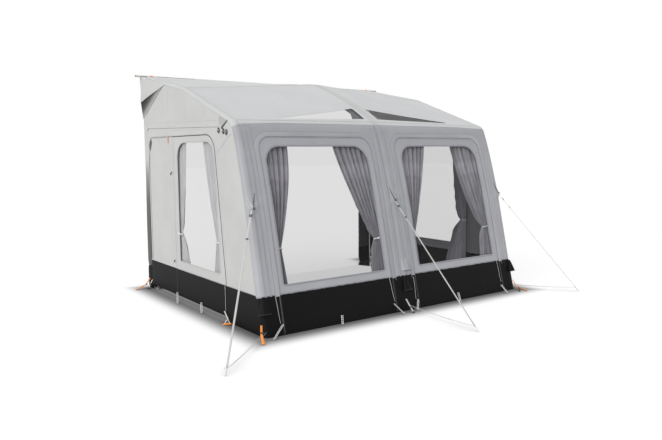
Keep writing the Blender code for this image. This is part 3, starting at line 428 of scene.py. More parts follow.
def joined(name, pieces):
    """One object from several, with their materials."""
    made = bmesh.new()
    mesh = bpy.data.meshes.new(name)
    for piece in pieces:
        slot = mesh.materials.find(piece.data.materials[0].name)
        if slot < 0:
            mesh.materials.append(piece.data.materials[0])
            slot = len(mesh.materials) - 1
        before = len(made.faces)
        made.from_mesh(piece.data)
        made.faces.ensure_lookup_table()
        for face in made.faces[before:]:
            face.material_index = slot
        bpy.data.objects.remove(piece)
    made.to_mesh(mesh)
    made.free()
    return new_object(name, mesh)


def ladder_lock(name, seat, run, material, length=0.03):
    """A ladder-lock buckle round a strap: a curved plate with two slots and a thumb lip."""
    width, thick = max(length, 0.022), 0.003
    across, out = beside_run(run)
    if out.z < 0:
        out, across = -out, -across
    plan = bmesh.new()
    rows = [0, 0.16, 0.4, 0.6, 0.84, 1.0]
    columns = [-0.5, -0.36, 0.36, 0.5]
    slots = {(1, 1), (3, 1)}
    grid = []
    for share in rows:
        bowed = out * (0.004 - 0.012 * (share - 0.5) ** 2 + 0.004 * share**6)
        middle = seat + run * length * share
        grid.append([plan.verts.new(middle + across * width * column + bowed) for column in columns])
    for row in range(len(rows) - 1):
        for column in range(len(columns) - 1):
            if (row, column) not in slots:
                near, far = grid[row], grid[row + 1]
                plan.faces.new((near[column], near[column + 1], far[column + 1], far[column]))
    mesh = bpy.data.meshes.new(name)
    bmesh.ops.recalc_face_normals(plan, faces=plan.faces)
    plan.to_mesh(mesh)
    plan.free()
    mesh.materials.append(material)
    mesh.shade_smooth()
    made = new_object(name, mesh)
    thickened(made, thick)
    edge = made.modifiers.new("edge", "BEVEL")
    edge.width = thick / 3
    edge.segments = 2
    edge.limit_method = "ANGLE"
    return made


def thin_cord(line):
    """Measures the length of a limp cord's line, which is not kept."""
    span = sum((b - a).length for a, b in zip(line, line[1:]))
    tuple(line[0])
    [tuple(point) for point in line]


for word, guy in GUYS.items():
    top, joint, peg, tab = (Vector(guy[key]) for key in ("top", "joint", "peg", "tab"))
    run = (joint - top).normalized()
    length = (joint - top).length - 0.012
    ends = [top, top + run * length]
    name = f"storm_strap_{word}"
    strap = flat_strap(name, ends, STRAP_WIDTH, STRAP_THICKNESS, UP, webbing, STRAP_RINGS)
    buckle = ladder_lock(f"ladder_lock_{word}", top + run * guy["locks"][0], run, black_acetal)
    carried(buckle, f"{word}_strap_buckle", "moulded_hardware", f"strap_buckle_{word}")
    side_way = run.cross(UP).normalized()
    hook = [
        joint + side_way * 0.016 + UP * 0.004,
        joint + side_way * 0.010 + UP * 0.012,
        joint + side_way * 0.002 + UP * 0.012,
        joint - side_way * 0.002,
        joint.lerp(peg, 0.3),
        joint.lerp(peg, 0.7),
        peg,
    ]
    rod, _ = round_cord(f"steel_peg_{word}", hook, PEG_ROD * 2, plated_steel, 24)
    carried(rod, "awning", "pole_steel", f"guy_anchor_{word}")
    back = (tab - joint).normalized()
    lateral = UP.cross(back).normalized()
    for number, way in enumerate((-1, 1)):
        start, end = tab + lateral * way * CORD_APART, joint + back * 0.006
        path = []
        for step in range(11):
            share = step / 10
            path.append(start.lerp(end, share) - UP * CORD_SAG * 4 * share * (1 - share))
        cord, line = round_cord(f"foot_cord_{word}_{number}", path, CORD_WIDTH, webbing, 24)
        carried(cord, "awning", "strap_webbing")
        thin_cord(line)
    carried(strap, "awning", "strap_webbing", f"guy_strap_{word}")
    [tuple(point) for point in along(ends, STRAP_RINGS)[0]]

# Roof canopy
# Pale coated polyester runs from the caravan rail over the knee and turns over the front edge.
# A lighter band is sewn on along each edge, and the crown rises towards the centre band.
HALF_WIDTH = 1.65
WALL_Y = 1.276926
DEPTH = 2.60
FRONT_HEIGHT = 1.848
FRONT_LEAN = 0.498
FRONT_BOW = 0.035
BOW_PEAK_SHARE = 27 / 4
RAIL_HEIGHT = 2.44
KNEE_DEPTH = 1.02
KNEE_HEIGHT = 2.235
ROOF_CROWN = 0.11
CROWN_FALL_POWER = 3
EDGE_BAND = 0.15
CENTRE_BAND = 0.076
CORNER_RADIUS = 0.042
TOP_RADIUS = 0.13
EDGE_SEAM = 0.046
ROOF_DROP = 0.028
SEAM_DIP = 0.024
DIP_FROM = 1.2
ARC_POINTS = 12
FELL = 0.008
PLY = 0.0008
CLOTH = 0.0012
THIN_CLOTH = 0.0008
FILM = 0.0005
CLOTH_CELL = 0.026
LINED_SLOTS = ("roof_fabric", "wall_fabric")
FLAT_HALF = HALF_WIDTH - CORNER_RADIUS
CORNER_TURN = CORNER_RADIUS * math.pi / 2
SKIN_EDGE = FLAT_HALF + CORNER_TURN + EDGE_SEAM - CORNER_RADIUS
ROOF_EDGE = FLAT_HALF + CORNER_RADIUS * math.acos(1 - ROOF_DROP / CORNER_RADIUS)
SIDES = {"left": -1, "right": 1}


def skin_line():
    """The skin's line seen from the side as (depth, height), from the ground to the caravan."""
    corner = Vector((DEPTH - FRONT_LEAN, FRONT_HEIGHT))
    front_run = Vector((-(FRONT_LEAN + FRONT_BOW * BOW_PEAK_SHARE), FRONT_HEIGHT)).normalized()
    roof_run = (Vector((KNEE_DEPTH, KNEE_HEIGHT)) - corner).normalized()
    turn = math.acos(front_run.dot(roof_run))
    reach = TOP_RADIUS * math.tan(turn / 2)
    start = corner - front_run * reach
    centre = start + Vector((-front_run.y, front_run.x)) * TOP_RADIUS
    first = math.atan2(front_run.y, front_run.x) - math.pi / 2
    line = []
    for height in np.linspace(-0.02, start.y, 60)[:-1]:
        share = max(height, 0) / FRONT_HEIGHT
        bow = FRONT_BOW * BOW_PEAK_SHARE * share**2 * (1 - share)
        line.append((DEPTH - FRONT_LEAN * height / FRONT_HEIGHT + bow, height))
    eaves = len(line)
    for angle in np.linspace(first, first + turn, ARC_POINTS + 1):
        line.append(tuple(centre + TOP_RADIUS * Vector((math.cos(angle), math.sin(angle)))))
    end = Vector(line[-1])
    knee, rear = Vector((KNEE_DEPTH, KNEE_HEIGHT)), Vector((0, RAIL_HEIGHT))
    line += [tuple(end.lerp(knee, share)) for share in (0.3, 0.6, 0.9, 0.98, 1)]
    line += [tuple(knee.lerp(rear, share)) for share in (0.02, 0.1, 0.4, 0.7, 1)]
    return np.array(line), eaves


SKIN_LINE, EAVES_INDEX = skin_line()
SKIN_RUN = np.concatenate([[0], np.cumsum(np.linalg.norm(np.diff(SKIN_LINE, axis=0), axis=1))])
runs = np.gradient(SKIN_LINE, SKIN_RUN, axis=0)
SKIN_OUT = np.stack([runs[:, 1], -runs[:, 0]], axis=1)
SKIN_OUT /= np.linalg.norm(SKIN_OUT, axis=1)[:, None]
EAVES = SKIN_RUN[EAVES_INDEX]
ROOF_SEAM = SKIN_RUN[EAVES_INDEX + ARC_POINTS // 2]
KNEE = float(np.interp(-KNEE_DEPTH, -SKIN_LINE[EAVES_INDEX:, 0], SKIN_RUN[EAVES_INDEX:]))
REAR = SKIN_RUN[-1]


def run_at(height):
    """How far up the front wall's skin a height is."""
    return float(np.interp(height, SKIN_LINE[: EAVES_INDEX + 1, 1], SKIN_RUN[: EAVES_INDEX + 1]))


def run_back(depth):
    """How far along the roof's skin a distance from the caravan is."""
    return float(np.interp(-depth, -SKIN_LINE[EAVES_INDEX:, 0], SKIN_RUN[EAVES_INDEX:]))


def crown_share(x, depth):
    """How much of the roof's crown stands at a place: most at the centre of the knee."""
    flat_edge = HALF_WIDTH - EDGE_BAND
    across = min(max((flat_edge - abs(x)) / (flat_edge - CENTRE_BAND / 2), 0), 1)
    fall = (depth - KNEE_DEPTH) / (DEPTH - FRONT_LEAN - KNEE_DEPTH)
    behind = depth / KNEE_DEPTH
    return across * (behind if depth < KNEE_DEPTH else max(1 - fall**CROWN_FALL_POWER, 0))


GUY_PULLS = [(-1.607, 1.087), (0.03, 1.085), (1.641, 1.085)]


def soft_noise(x, y, seed):
    """Smooth noise between about -1 and 1 that is the same in each run."""
    return noise.noise(Vector((x, y, seed * 7.31)))


def ease(value, low, high):
    """0 below low, 1 above high, and smooth between them."""
    share = min(max((value - low) / (high - low), 0), 1)
    return share * share * (3 - 2 * share)


def skin_relief(w, run):
    """How far the cloth stands off its cut shape: folds over the legs, puckers at the guys."""
    if run > EAVES:
        fade = ease(run - EAVES, 0, 0.3) * (1 - ease(abs(w), FLAT_HALF - 0.1, FLAT_HALF))
        waves = 0.0022 * soft_noise(w * 2.2, run * 2.2, 1) + 0.0007 * soft_noise(w * 7, run * 5, 2)
        return fade * waves
    fade = ease(EAVES - run, 0, 0.12)
    relief = 0.0016 * soft_noise(w * 5, run * 0.9, 3) + 0.0008 * soft_noise(w * 13, run * 1.4, 4)
    wander = 0.5 * soft_noise(w * 0.5, run * 1.1, 5)
    for middle, half in ((-1.56, 0.1), (0, 0.13), (1.56, 0.1)):
        inside = 1 - ease(abs(w - middle), half * 0.55, half)
        relief += 0.0022 * inside * math.sin((w - middle) * 2 * math.pi / 0.047 + 3 * wander)
    for pull, height in GUY_PULLS:
        across, up = w - pull, run - GUY_RUN
        far = math.hypot(across, up)
        if far < 0.5:
            relief += 0.012 * math.exp(-((far / 0.035) ** 2))
            relief += 0.004 * math.exp(-far / 0.11) * math.cos(6 * math.atan2(across, up))
    return relief * fade


GUY_RUN = run_at(GUY_PULLS[0][1])


def skin_profile(run):
    """The skin's depth and height at a run, and the way it faces."""
    parts = (SKIN_LINE[:, 0], SKIN_LINE[:, 1], SKIN_OUT[:, 0], SKIN_OUT[:, 1])
    return (float(np.interp(run, SKIN_RUN, values)) for values in parts)


def skin(w, run, lift=0.0):
    """Place on the skin: w across it, over the rounded corner and down the side, run up and back."""
    side = -1 if w < 0 else 1
    past = abs(w) - FLAT_HALF
    if past <= 0:
        x, drawn, turned = w, 0, 0
    elif past < CORNER_TURN:
        turned = past / CORNER_RADIUS
        x = side * (FLAT_HALF + CORNER_RADIUS * math.sin(turned))
        drawn = CORNER_RADIUS * (1 - math.cos(turned))
    else:
        turned = math.pi / 2
        x, drawn = side * HALF_WIDTH, past - CORNER_TURN + CORNER_RADIUS
    depth, height, out_depth, out_height = skin_profile(run)
    raised = lift + skin_relief(w, run)
    forward = raised * math.cos(turned) - drawn
    return Vector(
        (
            x + side * raised * math.sin(turned),
            WALL_Y - depth - out_depth * forward,
            height + out_height * forward + ROOF_CROWN * crown_share(x, depth),
        )
    )


def rounded(corners, radii, grow=0.0, steps=10):
    """Anticlockwise outline with a radius at each corner, grown outward by a distance."""
    count = len(corners)
    corners = [Vector(corner) for corner in corners]
    ways = [(corners[(i + 1) % count] - corners[i]).normalized() for i in range(count)]
    moved = []
    for index in range(count):
        before, after = ways[index - 1], ways[index]
        first, second = Vector((before.y, -before.x)), Vector((after.y, -after.x))
        moved.append(corners[index] + (first + second) / (1 + first.dot(second)) * grow)
    outline = []
    for index, corner in enumerate(moved):
        radius = max(radii[index] + grow, 0)
        if radii[index] == 0 or radius == 0:
            outline.append(tuple(corner))
            continue
        into, away = ways[index - 1], ways[index]
        turn = math.atan2(into.x * away.y - into.y * away.x, into.dot(away))
        start = corner - into * radius * math.tan(turn / 2)
        centre = start + Vector((-into.y, into.x)) * radius
        first = math.atan2(start.y - centre.y, start.x - centre.x)
        for step in range(steps + 1):
            angle = first + turn * step / steps
            outline.append(tuple(centre + radius * Vector((math.cos(angle), math.sin(angle)))))
    return outline


def turned_over(outline, side):
    """An outline drawn for the right, turned over for the left."""
    return outline if side > 0 else [(-x, y) for x, y in reversed(outline)]


def oblong(left, right, foot, head):
    """A rectangular outline."""
    return [(left, foot), (right, foot), (right, head), (left, head)]


def filled_in(outline, step):
    """An outline with points no further apart than a step."""
    made = []
    for (ax, ay), (bx, by) in zip(outline, outline[1:] + outline[:1]):
        pieces = max(1, math.ceil(math.hypot(bx - ax, by - ay) / step))
        made += [(ax + (bx - ax) * i / pieces, ay + (by - ay) * i / pieces) for i in range(pieces)]
    return made


def open_line(path, step):
    """An open line with points no further apart than a step."""
    back = max(1, math.ceil(math.dist(path[-1], path[0]) / step))
    return filled_in(list(path), step)[:-back] + [tuple(path[-1])]


def inside(points, outline):
    """Whether each point is inside an outline."""
    x, y = points[:, 0], points[:, 1]
    found = np.zeros(len(points), bool)
    for (ax, ay), (bx, by) in zip(outline, outline[1:] + outline[:1]):
        if ay == by:
            continue
        crosses = (ay > y) != (by > y)
        found ^= crosses & (x < (bx - ax) * (y - ay) / (by - ay) + ax)
    return found


def cut_cloth(outline, holes, cell):
    """Flat points and triangles of a cloth cut to an outline with holes."""
    loops = [filled_in(loop, cell) for loop in [outline, *holes]]
    edges, corners = [], []
    for loop in loops:
        base = len(corners)
        corners += loop
        edges += [(base + i, base + (i + 1) % len(loop)) for i in range(len(loop))]
    border = np.array(corners)
    low, high = border.min(0), border.max(0)
    counts = [max(2, math.ceil((high[k] - low[k]) / cell)) for k in (0, 1)]
    grid = np.stack(
        np.meshgrid(*(np.linspace(low[k], high[k], counts[k] + 1) for k in (0, 1))), axis=-1
    ).reshape(-1, 2)
    keep = inside(grid, outline)
    for hole in holes:
        keep &= ~inside(grid, hole)
    grid = grid[keep]
    near = np.full(len(grid), np.inf)
    for start in range(0, len(border), 64):
        gap = np.linalg.norm(grid[:, None] - border[None, start : start + 64], axis=2)
        near = np.minimum(near, gap.min(1))
    grid = grid[near > 0.45 * cell]
    flat = [Vector(point) for point in corners] + [Vector(point) for point in grid]
    points, _, faces, *_ = geometry.delaunay_2d_cdt(flat, edges, [], 0, 1e-7)
    points = np.array([tuple(point) for point in points])
    faces = np.array([face for face in faces if len(face) == 3])
    middle = points[faces].mean(1)
    keep = inside(middle, outline)
    for hole in holes:
        keep &= ~inside(middle, hole)
    used, faces = np.unique(faces[keep], return_inverse=True)
    return points[used], faces.reshape(-1, 3)


def area_of(points, faces):
    """Flat area of a cut cloth."""
    a, b, c = (points[faces[:, k]] for k in range(3))
    u, v = b - a, c - a
    return float(np.abs(u[:, 0] * v[:, 1] - u[:, 1] * v[:, 0]).sum() / 2)


def cloth(
    name, material, surface, outline, holes=(), lift=0.0, body="awning", node=None, slot="roof_fabric",
    held="stretched", rests_on=("air_beam_left",), cell=CLOTH_CELL, flip=False, thickness=CLOTH
):
    """A sheet cut to an outline, laid on a surface and given its thickness."""
    points, faces = cut_cloth(outline, holes, cell)
    placed = [surface(a, b, lift) for a, b in points]
    ordered = [tuple(face[::-1]) if flip else tuple(face) for face in faces.tolist()]
    made = finish_mesh(name, placed, ordered, material, points)
    wall = thickened(made, thickness, -1)
    if slot in LINED_SLOTS:
        made.data.materials.append(reverse_side_painted_shade)
        wall.material_offset = 1
    shading = made.modifiers.new("shading", "WEIGHTED_NORMAL")
    shading.weight = 95
    carried(made, body, slot, node)
    size = points.max(0) - points.min(0)
    flat = tuple(round(float(value), 3) for value in size)
    area = min(area_of(points, faces), flat[0] * flat[1])
    list(rests_on)
    return made


def strip(
    name, material, surface, path, width, lift=0.0, height=0.0008, body="awning", slot="wall_fabric",
    closed=False, step=0.02, crown=0.0003, taper=(1.0, 1.0)
):
    """A band that follows a line drawn on a surface: tape, webbing, a seam or a flap."""
    line = filled_in(list(path), step) if closed else open_line(path, step)
    count = len(line)
    rings, places, reach = [], [], 0
    for index, here in enumerate(line):
        before = line[index - 1] if index or closed else here
        after = line[(index + 1) % count] if index < count - 1 or closed else here
        run = Vector((after[0] - before[0], after[1] - before[1])).normalized()
        narrow = taper[0] + (taper[1] - taper[0]) * index / (count - 1)
        across = Vector((run.y, -run.x)) * narrow * width / 2
        if index:
            reach += math.dist(here, line[index - 1])
        ring = []
        for share, up in ((-1, 0), (-0.97, 0.8), (0, 1), (0.97, 0.8), (1, 0)):
            extra = height * up + (crown if up == 1 else 0)
            ring.append(surface(here[0] + across.x * share, here[1] + across.y * share, lift + extra))
            places.append((share * width / 2, reach))
        rings.append(ring)
    points = [point for ring in rings for point in ring]
    faces = []
    for row in range(count if closed else count - 1):
        for side in range(5):
            a, b = row * 5 + side, row * 5 + (side + 1) % 5
            c, d = (row + 1) % count * 5 + (side + 1) % 5, (row + 1) % count * 5 + side
            faces.append((a, d, c, b))
    if not closed:
        faces.append((0, 1, 2, 3, 4))
        faces.append(tuple(range(5 * count - 5, 5 * count))[::-1])
    made = outward(finish_mesh(name, points, faces, material, places))
    made.data.set_sharp_from_angle(angle=math.radians(60))
    return carried(made, body, slot)


def film_finish(name, colour, roughness, ior, alpha):
    """Cast PVC film: glossy, with its tint in its alpha."""
    made = bpy.data.materials.new(name)
    tree = empty_tree(made)
    looks = {"Base Color": linear(colour), "Roughness": roughness, "IOR": ior, "Alpha": alpha}
    film = add_node(tree, "ShaderNodeBsdfPrincipled", looks)
    add_node(tree, "ShaderNodeOutputMaterial", {"Surface": film.outputs[0]})
    return made


# Coated polyester, woven and then sealed: pale and matt, with a very faint cloudy tone
roof_cloth = cloth_finish("coated_polyester_pale", "#cdcecf", "#c5c6c7", 4.0, 0.62, 0.08, 0.12, 0.5)
# The cloth's inner face is a darker grey: partly its grey coating, and partly painted shade for the dim
# inside of the awning
reverse_side_painted_shade = cloth_finish("grey_reverse_painted_shade", "#86868a", "#7a7a7e", 4.0, 0.7, 0.05, 0.12, 0.5)
band_cloth = cloth_finish("coated_polyester_band", "#c2c3c3", "#bbbcbc", 4.0, 0.55, 0.08, 0.12, 0.5)
# Tinted PVC film: smoke grey and glossy
tinted_film = film_finish("tinted_pvc_film", "#3c3c39", 0.1, 1.52, 0.19)

SKYLIGHT = [(0.088, 1.792), (1.215, 2.007), (0.088, 2.007)]
SKYLIGHT_UNDER_SHEET = [(0.089, 1.8), (0.12, 1.8), (0.24, 2.02), (0.089, 2.02)]


def skylight(side, grow):
    """A skylight's outline on the skin, grown by a distance."""
    outline = [(x, run_back(depth)) for x, depth in SKYLIGHT]
    return turned_over(rounded(outline[::-1], [0.012] * 3, grow, 4), side)


skylight_cuts = []
for word, side in SIDES.items():
    skylight_cuts.append(skylight(side, 0))
    cloth(
        f"skylight_film_{word}", tinted_film, skin, skylight(side, 0.012), lift=-CLOTH - 0.0003,
        node=f"skylight_{word}", slot="skylight_film", rests_on=["roof_canopy_cloth"], thickness=FILM
    )
    # A dark sheet of the reverse cloth hangs under the skylight's inner end, beside the centre beam, and
    # shows through the film
    cloth(
        f"skylight_under_sheet_{word}", reverse_side_painted_shade, skin,
        turned_over([(x, run_back(depth)) for x, depth in SKYLIGHT_UNDER_SHEET[::-1]], side), lift=-0.02,
        held="hung", rests_on=["roof_canopy_cloth"], thickness=THIN_CLOTH
    )
cloth(
    "roof_canopy_cloth", roof_cloth, skin,
    [
        (-SKIN_EDGE, ROOF_SEAM - FELL - SEAM_DIP),
        (-DIP_FROM, ROOF_SEAM - FELL),
        (DIP_FROM, ROOF_SEAM - FELL),
        (SKIN_EDGE, ROOF_SEAM - FELL - SEAM_DIP),
        (ROOF_EDGE, ROOF_SEAM + 0.12),
        (ROOF_EDGE, REAR),
        (-ROOF_EDGE, REAR),
        (-ROOF_EDGE, ROOF_SEAM + 0.12),
    ],
    skylight_cuts, lift=PLY, node="roof_canopy", cell=0.03,
    rests_on=["air_beam_left", "air_beam_centre", "air_beam_right"]
)

# Front wall
# A darker grey cloth on a leaning, slightly bowed wall. Its border is sewn to the roof and the
# side walls, and each of the two panels is zipped into it and holds a clear window.
MUDWALL_TOP = 0.343
ZIP_GAP = 0.003
ZIP_CORNERS = [(0.15, -0.1), (1.455, -0.1), (1.455, 1.72), (0.15, 1.72)]
ZIP_RADII = [0, 0, 0.13, 0.13]
WINDOW_FOOT = 0.42
WINDOW_HEAD = 1.625
WINDOW_NEAR = 0.235
WINDOW_FAR = {-1: 1.393, 1: 1.358}
WINDOW_RADII = [0.015, 0.015, 0.15, 0.15]
WINDOW_FELL = 0.012
BUTT = 0.0004
LEG_TOP = 1.585
LEG_FOOT_EDGE = SKIN_EDGE + 0.018
HEAD_FOOT = 1.47


def on_skin(outline):
    """An outline drawn in (x, height) on the front wall, in the skin's own measures."""
    return [(x, run_at(height) if height >= 0 else height) for x, height in outline]


def window_outline(side, grow=0.0):
    """A front window's opening, grown by a distance."""
    far = WINDOW_FAR[side]
    corners = oblong(WINDOW_NEAR, far, WINDOW_FOOT, WINDOW_HEAD)
    return on_skin(turned_over(rounded(corners, WINDOW_RADII, grow), side))


def banded(finish, top, tones):
    """Shades a cloth by the second measure of its UV map: (measure, share of its colour)."""
    tree = finish.node_tree
    shader = next(node for node in tree.nodes if node.type == "BSDF_PRINCIPLED")
    plain = shader.inputs["Base Color"].links[0].from_socket
    place = add_node(tree, "ShaderNodeTexCoord").outputs["UV"]
    up = add_node(tree, "ShaderNodeSeparateXYZ", {"Vector": place}).outputs["Y"]
    share = add_node(tree, "ShaderNodeMapRange", {"Value": up, "From Max": top}).outputs[0]
    ramp = add_node(tree, "ShaderNodeValToRGB", {"Fac": share})
    stops = ramp.color_ramp.elements
    while len(stops) < len(tones):
        stops.new(0.5)
    for stop, (measure, _) in zip(stops, tones):
        stop.position = measure / top
    for stop, (_, tone) in zip(stops, tones):
        stop.color = (tone, tone, tone, 1)
    shaded = add_node(
        tree, "ShaderNodeMix", {0: 1.0, 6: plain, 7: ramp.outputs["Color"]}, data_type="RGBA",
        blend_type="MULTIPLY"
    ).outputs[2]
    tree.links.new(shaded, shader.inputs["Base Color"])
    return finish


def zip_outline(side, grow, low):
    """A front panel's zip line as an outline that is closed across the bottom at a height."""
    corners = [(x, max(height, low)) for x, height in ZIP_CORNERS]
    return turned_over(rounded(corners, ZIP_RADII, grow), side)


# Coated polyester of a darker grey on the front
front_cloth_shaded = cloth_finish("coated_polyester_grey_painted_shade", "#b9babf", "#b0b1b6", 4.0, 0.62, 0.08, 0.12, 0.4)
# Painted shade: the front cloth is made darker towards the top of the wall, by its UV height
banded(front_cloth_shaded, 2.5, [(0.3, 1.0), (0.6, 0.94), (1.5, 0.91), (1.8, 0.82)])
# Clear PVC film: almost colourless, with the gloss of a sheet. The right wall's is lit from both
# sides and hides less.
FILM_ALPHA = {"clear_pvc_film": 0.165, "left_side_film": 0.165, "right_side_film": 0.07}
films = {name: film_finish(name, "#1c1c1b", 0.08, 1.4, share) for name, share in FILM_ALPHA.items()}

seam = run_at(MUDWALL_TOP)
shoulder = run_at(LEG_TOP)
leg_edge = ZIP_CORNERS[1][0]
for word, way in {"left": 1, "centre": 1, "right": -1}.items():
    foot_edge, top_edge, inner_edge = -LEG_FOOT_EDGE, -SKIN_EDGE, -leg_edge
    if word == "centre":
        foot_edge, top_edge, inner_edge = -ZIP_CORNERS[0][0], -ZIP_CORNERS[0][0], ZIP_CORNERS[0][0]
    leg = [
        (foot_edge, seam - FELL),
        (inner_edge, seam - FELL),
        (inner_edge, shoulder + BUTT),
        (top_edge, shoulder + BUTT),
    ]
    cloth(
        f"front_leg_cloth_{word}", front_cloth_shaded, skin, turned_over(leg, way), slot="wall_fabric", cell=0.016
    )
header_outline = [
    (-SKIN_EDGE, shoulder),
    (SKIN_EDGE, shoulder),
    (SKIN_EDGE, ROOF_SEAM - SEAM_DIP),
    (DIP_FROM, ROOF_SEAM),
    (-DIP_FROM, ROOF_SEAM),
    (-SKIN_EDGE, ROOF_SEAM - SEAM_DIP),
]
header_cuts = []
for side in SIDES.values():
    cut = on_skin(zip_outline(side, 0, LEG_TOP))
    header_cuts.append([(x, run if run > shoulder + 1e-6 else shoulder - FELL) for x, run in cut])
cloth(
    "front_header_cloth", front_cloth_shaded, skin, header_outline, header_cuts, node="front_border",
    slot="wall_fabric"
)
for word, side in SIDES.items():
    panel_body = f"{word}_front_panel"
    near, far = ZIP_CORNERS[0][0] + ZIP_GAP, ZIP_CORNERS[1][0] - ZIP_GAP
    foot, brow = run_at(WINDOW_FOOT), run_at(HEAD_FOOT)
    low, high = foot - BUTT, brow + 2 * ZIP_GAP + BUTT
    cuts = {
        "head": on_skin(zip_outline(side, -ZIP_GAP, HEAD_FOOT + ZIP_GAP)),
        "sill": turned_over(oblong(near, far, seam - FELL, foot), side),
        "inner": turned_over(oblong(near, WINDOW_NEAR, low, high), side),
        "outer": turned_over(oblong(WINDOW_FAR[side], far, low, high), side),
    }
    window = window_outline(side)
    for part, outline in cuts.items():
        cloth(
            f"front_panel_{part}_{word}", front_cloth_shaded, skin, outline, [window] if part == "head" else [],
            body=panel_body, node=f"front_panel_{word}" if part == "head" else None, slot="wall_fabric",
            rests_on=["front_header_cloth"], cell=0.02
        )
    cloth(
        f"front_window_film_{word}", films["clear_pvc_film"], skin, window_outline(side, WINDOW_FELL),
        lift=-CLOTH, body=panel_body, node=f"front_window_{word}", slot="window_film",
        rests_on=[f"front_panel_sill_{word}"], thickness=FILM, cell=0.04
    )

# Mudwall
# PVC-coated cloth, black with a low greasy gloss, from the front wall's lower seam to the ground.
# Each panel has a length that folds down with it; the centre and corner lengths stay put.
mud_cloth = cloth_finish("pvc_coated_cloth_black", "#0a0a0b", "#070708", 5.0, 0.6, 0.0, 0.15, 0.3, 1.24)
cloth(
    "centre_mudwall_cloth", mud_cloth, skin,
    on_skin(oblong(-ZIP_CORNERS[0][0], ZIP_CORNERS[0][0], 0.0, MUDWALL_TOP)), node="centre_mudwall",
    slot="mudwall_fabric", rests_on=["front_header_cloth"]
)
for word, side in SIDES.items():
    low = ZIP_CORNERS[0][0] + ZIP_GAP / 2
    high = ZIP_CORNERS[1][0] - ZIP_GAP / 2
    cloth(
        f"front_mudwall_cloth_{word}", mud_cloth, skin,
        turned_over(on_skin(oblong(low, high, 0, MUDWALL_TOP)), side), body=f"{word}_front_panel",
        node=f"front_mudwall_{word}", slot="mudwall_fabric", rests_on=[f"front_panel_sill_{word}"]
    )
    cloth(
        f"corner_mudwall_cloth_{word}", mud_cloth, skin,
        turned_over(oblong(ZIP_CORNERS[1][0], SKIN_EDGE, run_at(0), seam), side),
        node=f"side_mudwall_{word}", slot="mudwall_fabric", rests_on=["front_header_cloth"]
    )

# Side walls
# Pale cloth like the roof's. Each wall has a zipped door at the rear, a window in front of it
# and a black mudwall along its foot, whose hem hangs a hand's breadth above the ground.
DOOR_REAR = 0.05
DOOR_HINGE = 0.73
DOOR_TOP = 1.745
DOOR_RADIUS = 0.1
SIDE_WINDOW_CORNERS = [(0.84, 0.44), (1.765, 0.44), (1.68, 1.675), (0.84, 1.675)]
SIDE_WINDOW_RADII = [0.015, 0.015, 0.16, 0.16]
SIDE_SET_IN = 0.003
DOOR_FOLD_PITCH = 0.21
HEM_LIFT = 0.052
HEM_STEP = 1.885


def side_relief(depth, height):
    """How far a side wall stands off its cut shape: a hanging door folds, the wall is tauter."""
    inward = float(np.interp(height, SKIN_LINE[:EAVES_INDEX, 1], SKIN_LINE[:EAVES_INDEX, 0])) - depth
    fade = ease(inward, EDGE_SEAM, 0.3) * ease(2.2 - height, 0, 0.3) * ease(depth, 0, 0.1)
    hung = 1 - ease(depth, DOOR_HINGE - 0.1, DOOR_HINGE + 0.1)
    sway = math.sin(depth * 2 * math.pi / DOOR_FOLD_PITCH + 1.4 * soft_noise(depth, height * 0.7, 8))
    folds = 0.003 * hung * sway * ease(DOOR_TOP - height, 0.02, 0.5) * ease(height, 0.3, 0.6)
    return fade * (folds + 0.0022 * soft_noise(depth * 4, height * 1.2, 9))


def side_surface(side):
    """The surface of one side wall, by distance from the caravan and height."""

    def place(depth, height, lift=0.0):
        raised = lift + side_relief(depth, height)
        return Vector((side * (HALF_WIDTH + raised), WALL_Y - depth, height))

    return place


def edge_line(inward, low, rear=0.0):
    """The side view's edge drawn in by a distance, from a height up and back to the caravan."""
    drawn = np.where(SKIN_RUN < EAVES, inward, min(inward, ROOF_DROP - 0.005))
    line = SKIN_LINE - SKIN_OUT * drawn[:, None]
    kept = [(max(u, rear), z) for u, z in line.tolist() if z > low + 0.004]
    foot = np.interp(low, line[: EAVES_INDEX + 1, 1], line[: EAVES_INDEX + 1, 0])
    return [(float(foot), low), *kept]


# Polyester of the side walls: the roof's cloth in a slightly warmer tone
wall_cloth = cloth_finish("coated_polyester_wall", "#c5c5c4", "#bcbcbb", 4.0, 0.62, 0.08, 0.12, 0.4)


def door_shape(grow=0.0):
    """A door's outline, open below, grown by a distance."""
    return rounded(oblong(DOOR_REAR, DOOR_HINGE, -1, DOOR_TOP), [0, 0, 0, DOOR_RADIUS], grow)


def side_cloth(kind, word, finish, outline, holes=(), lift=0.0, slot="wall_fabric", **given):
    """A sheet of one side wall, drawn by distance from the caravan and height."""
    side = SIDES[word]
    given = {"rests_on": [f"side_wall_cloth_{word}"], "flip": side > 0, **given}
    name, surface = f"{kind}_{word}", side_surface(side)
    return cloth(name, finish, surface, outline, holes, lift - SIDE_SET_IN, slot=slot, **given)


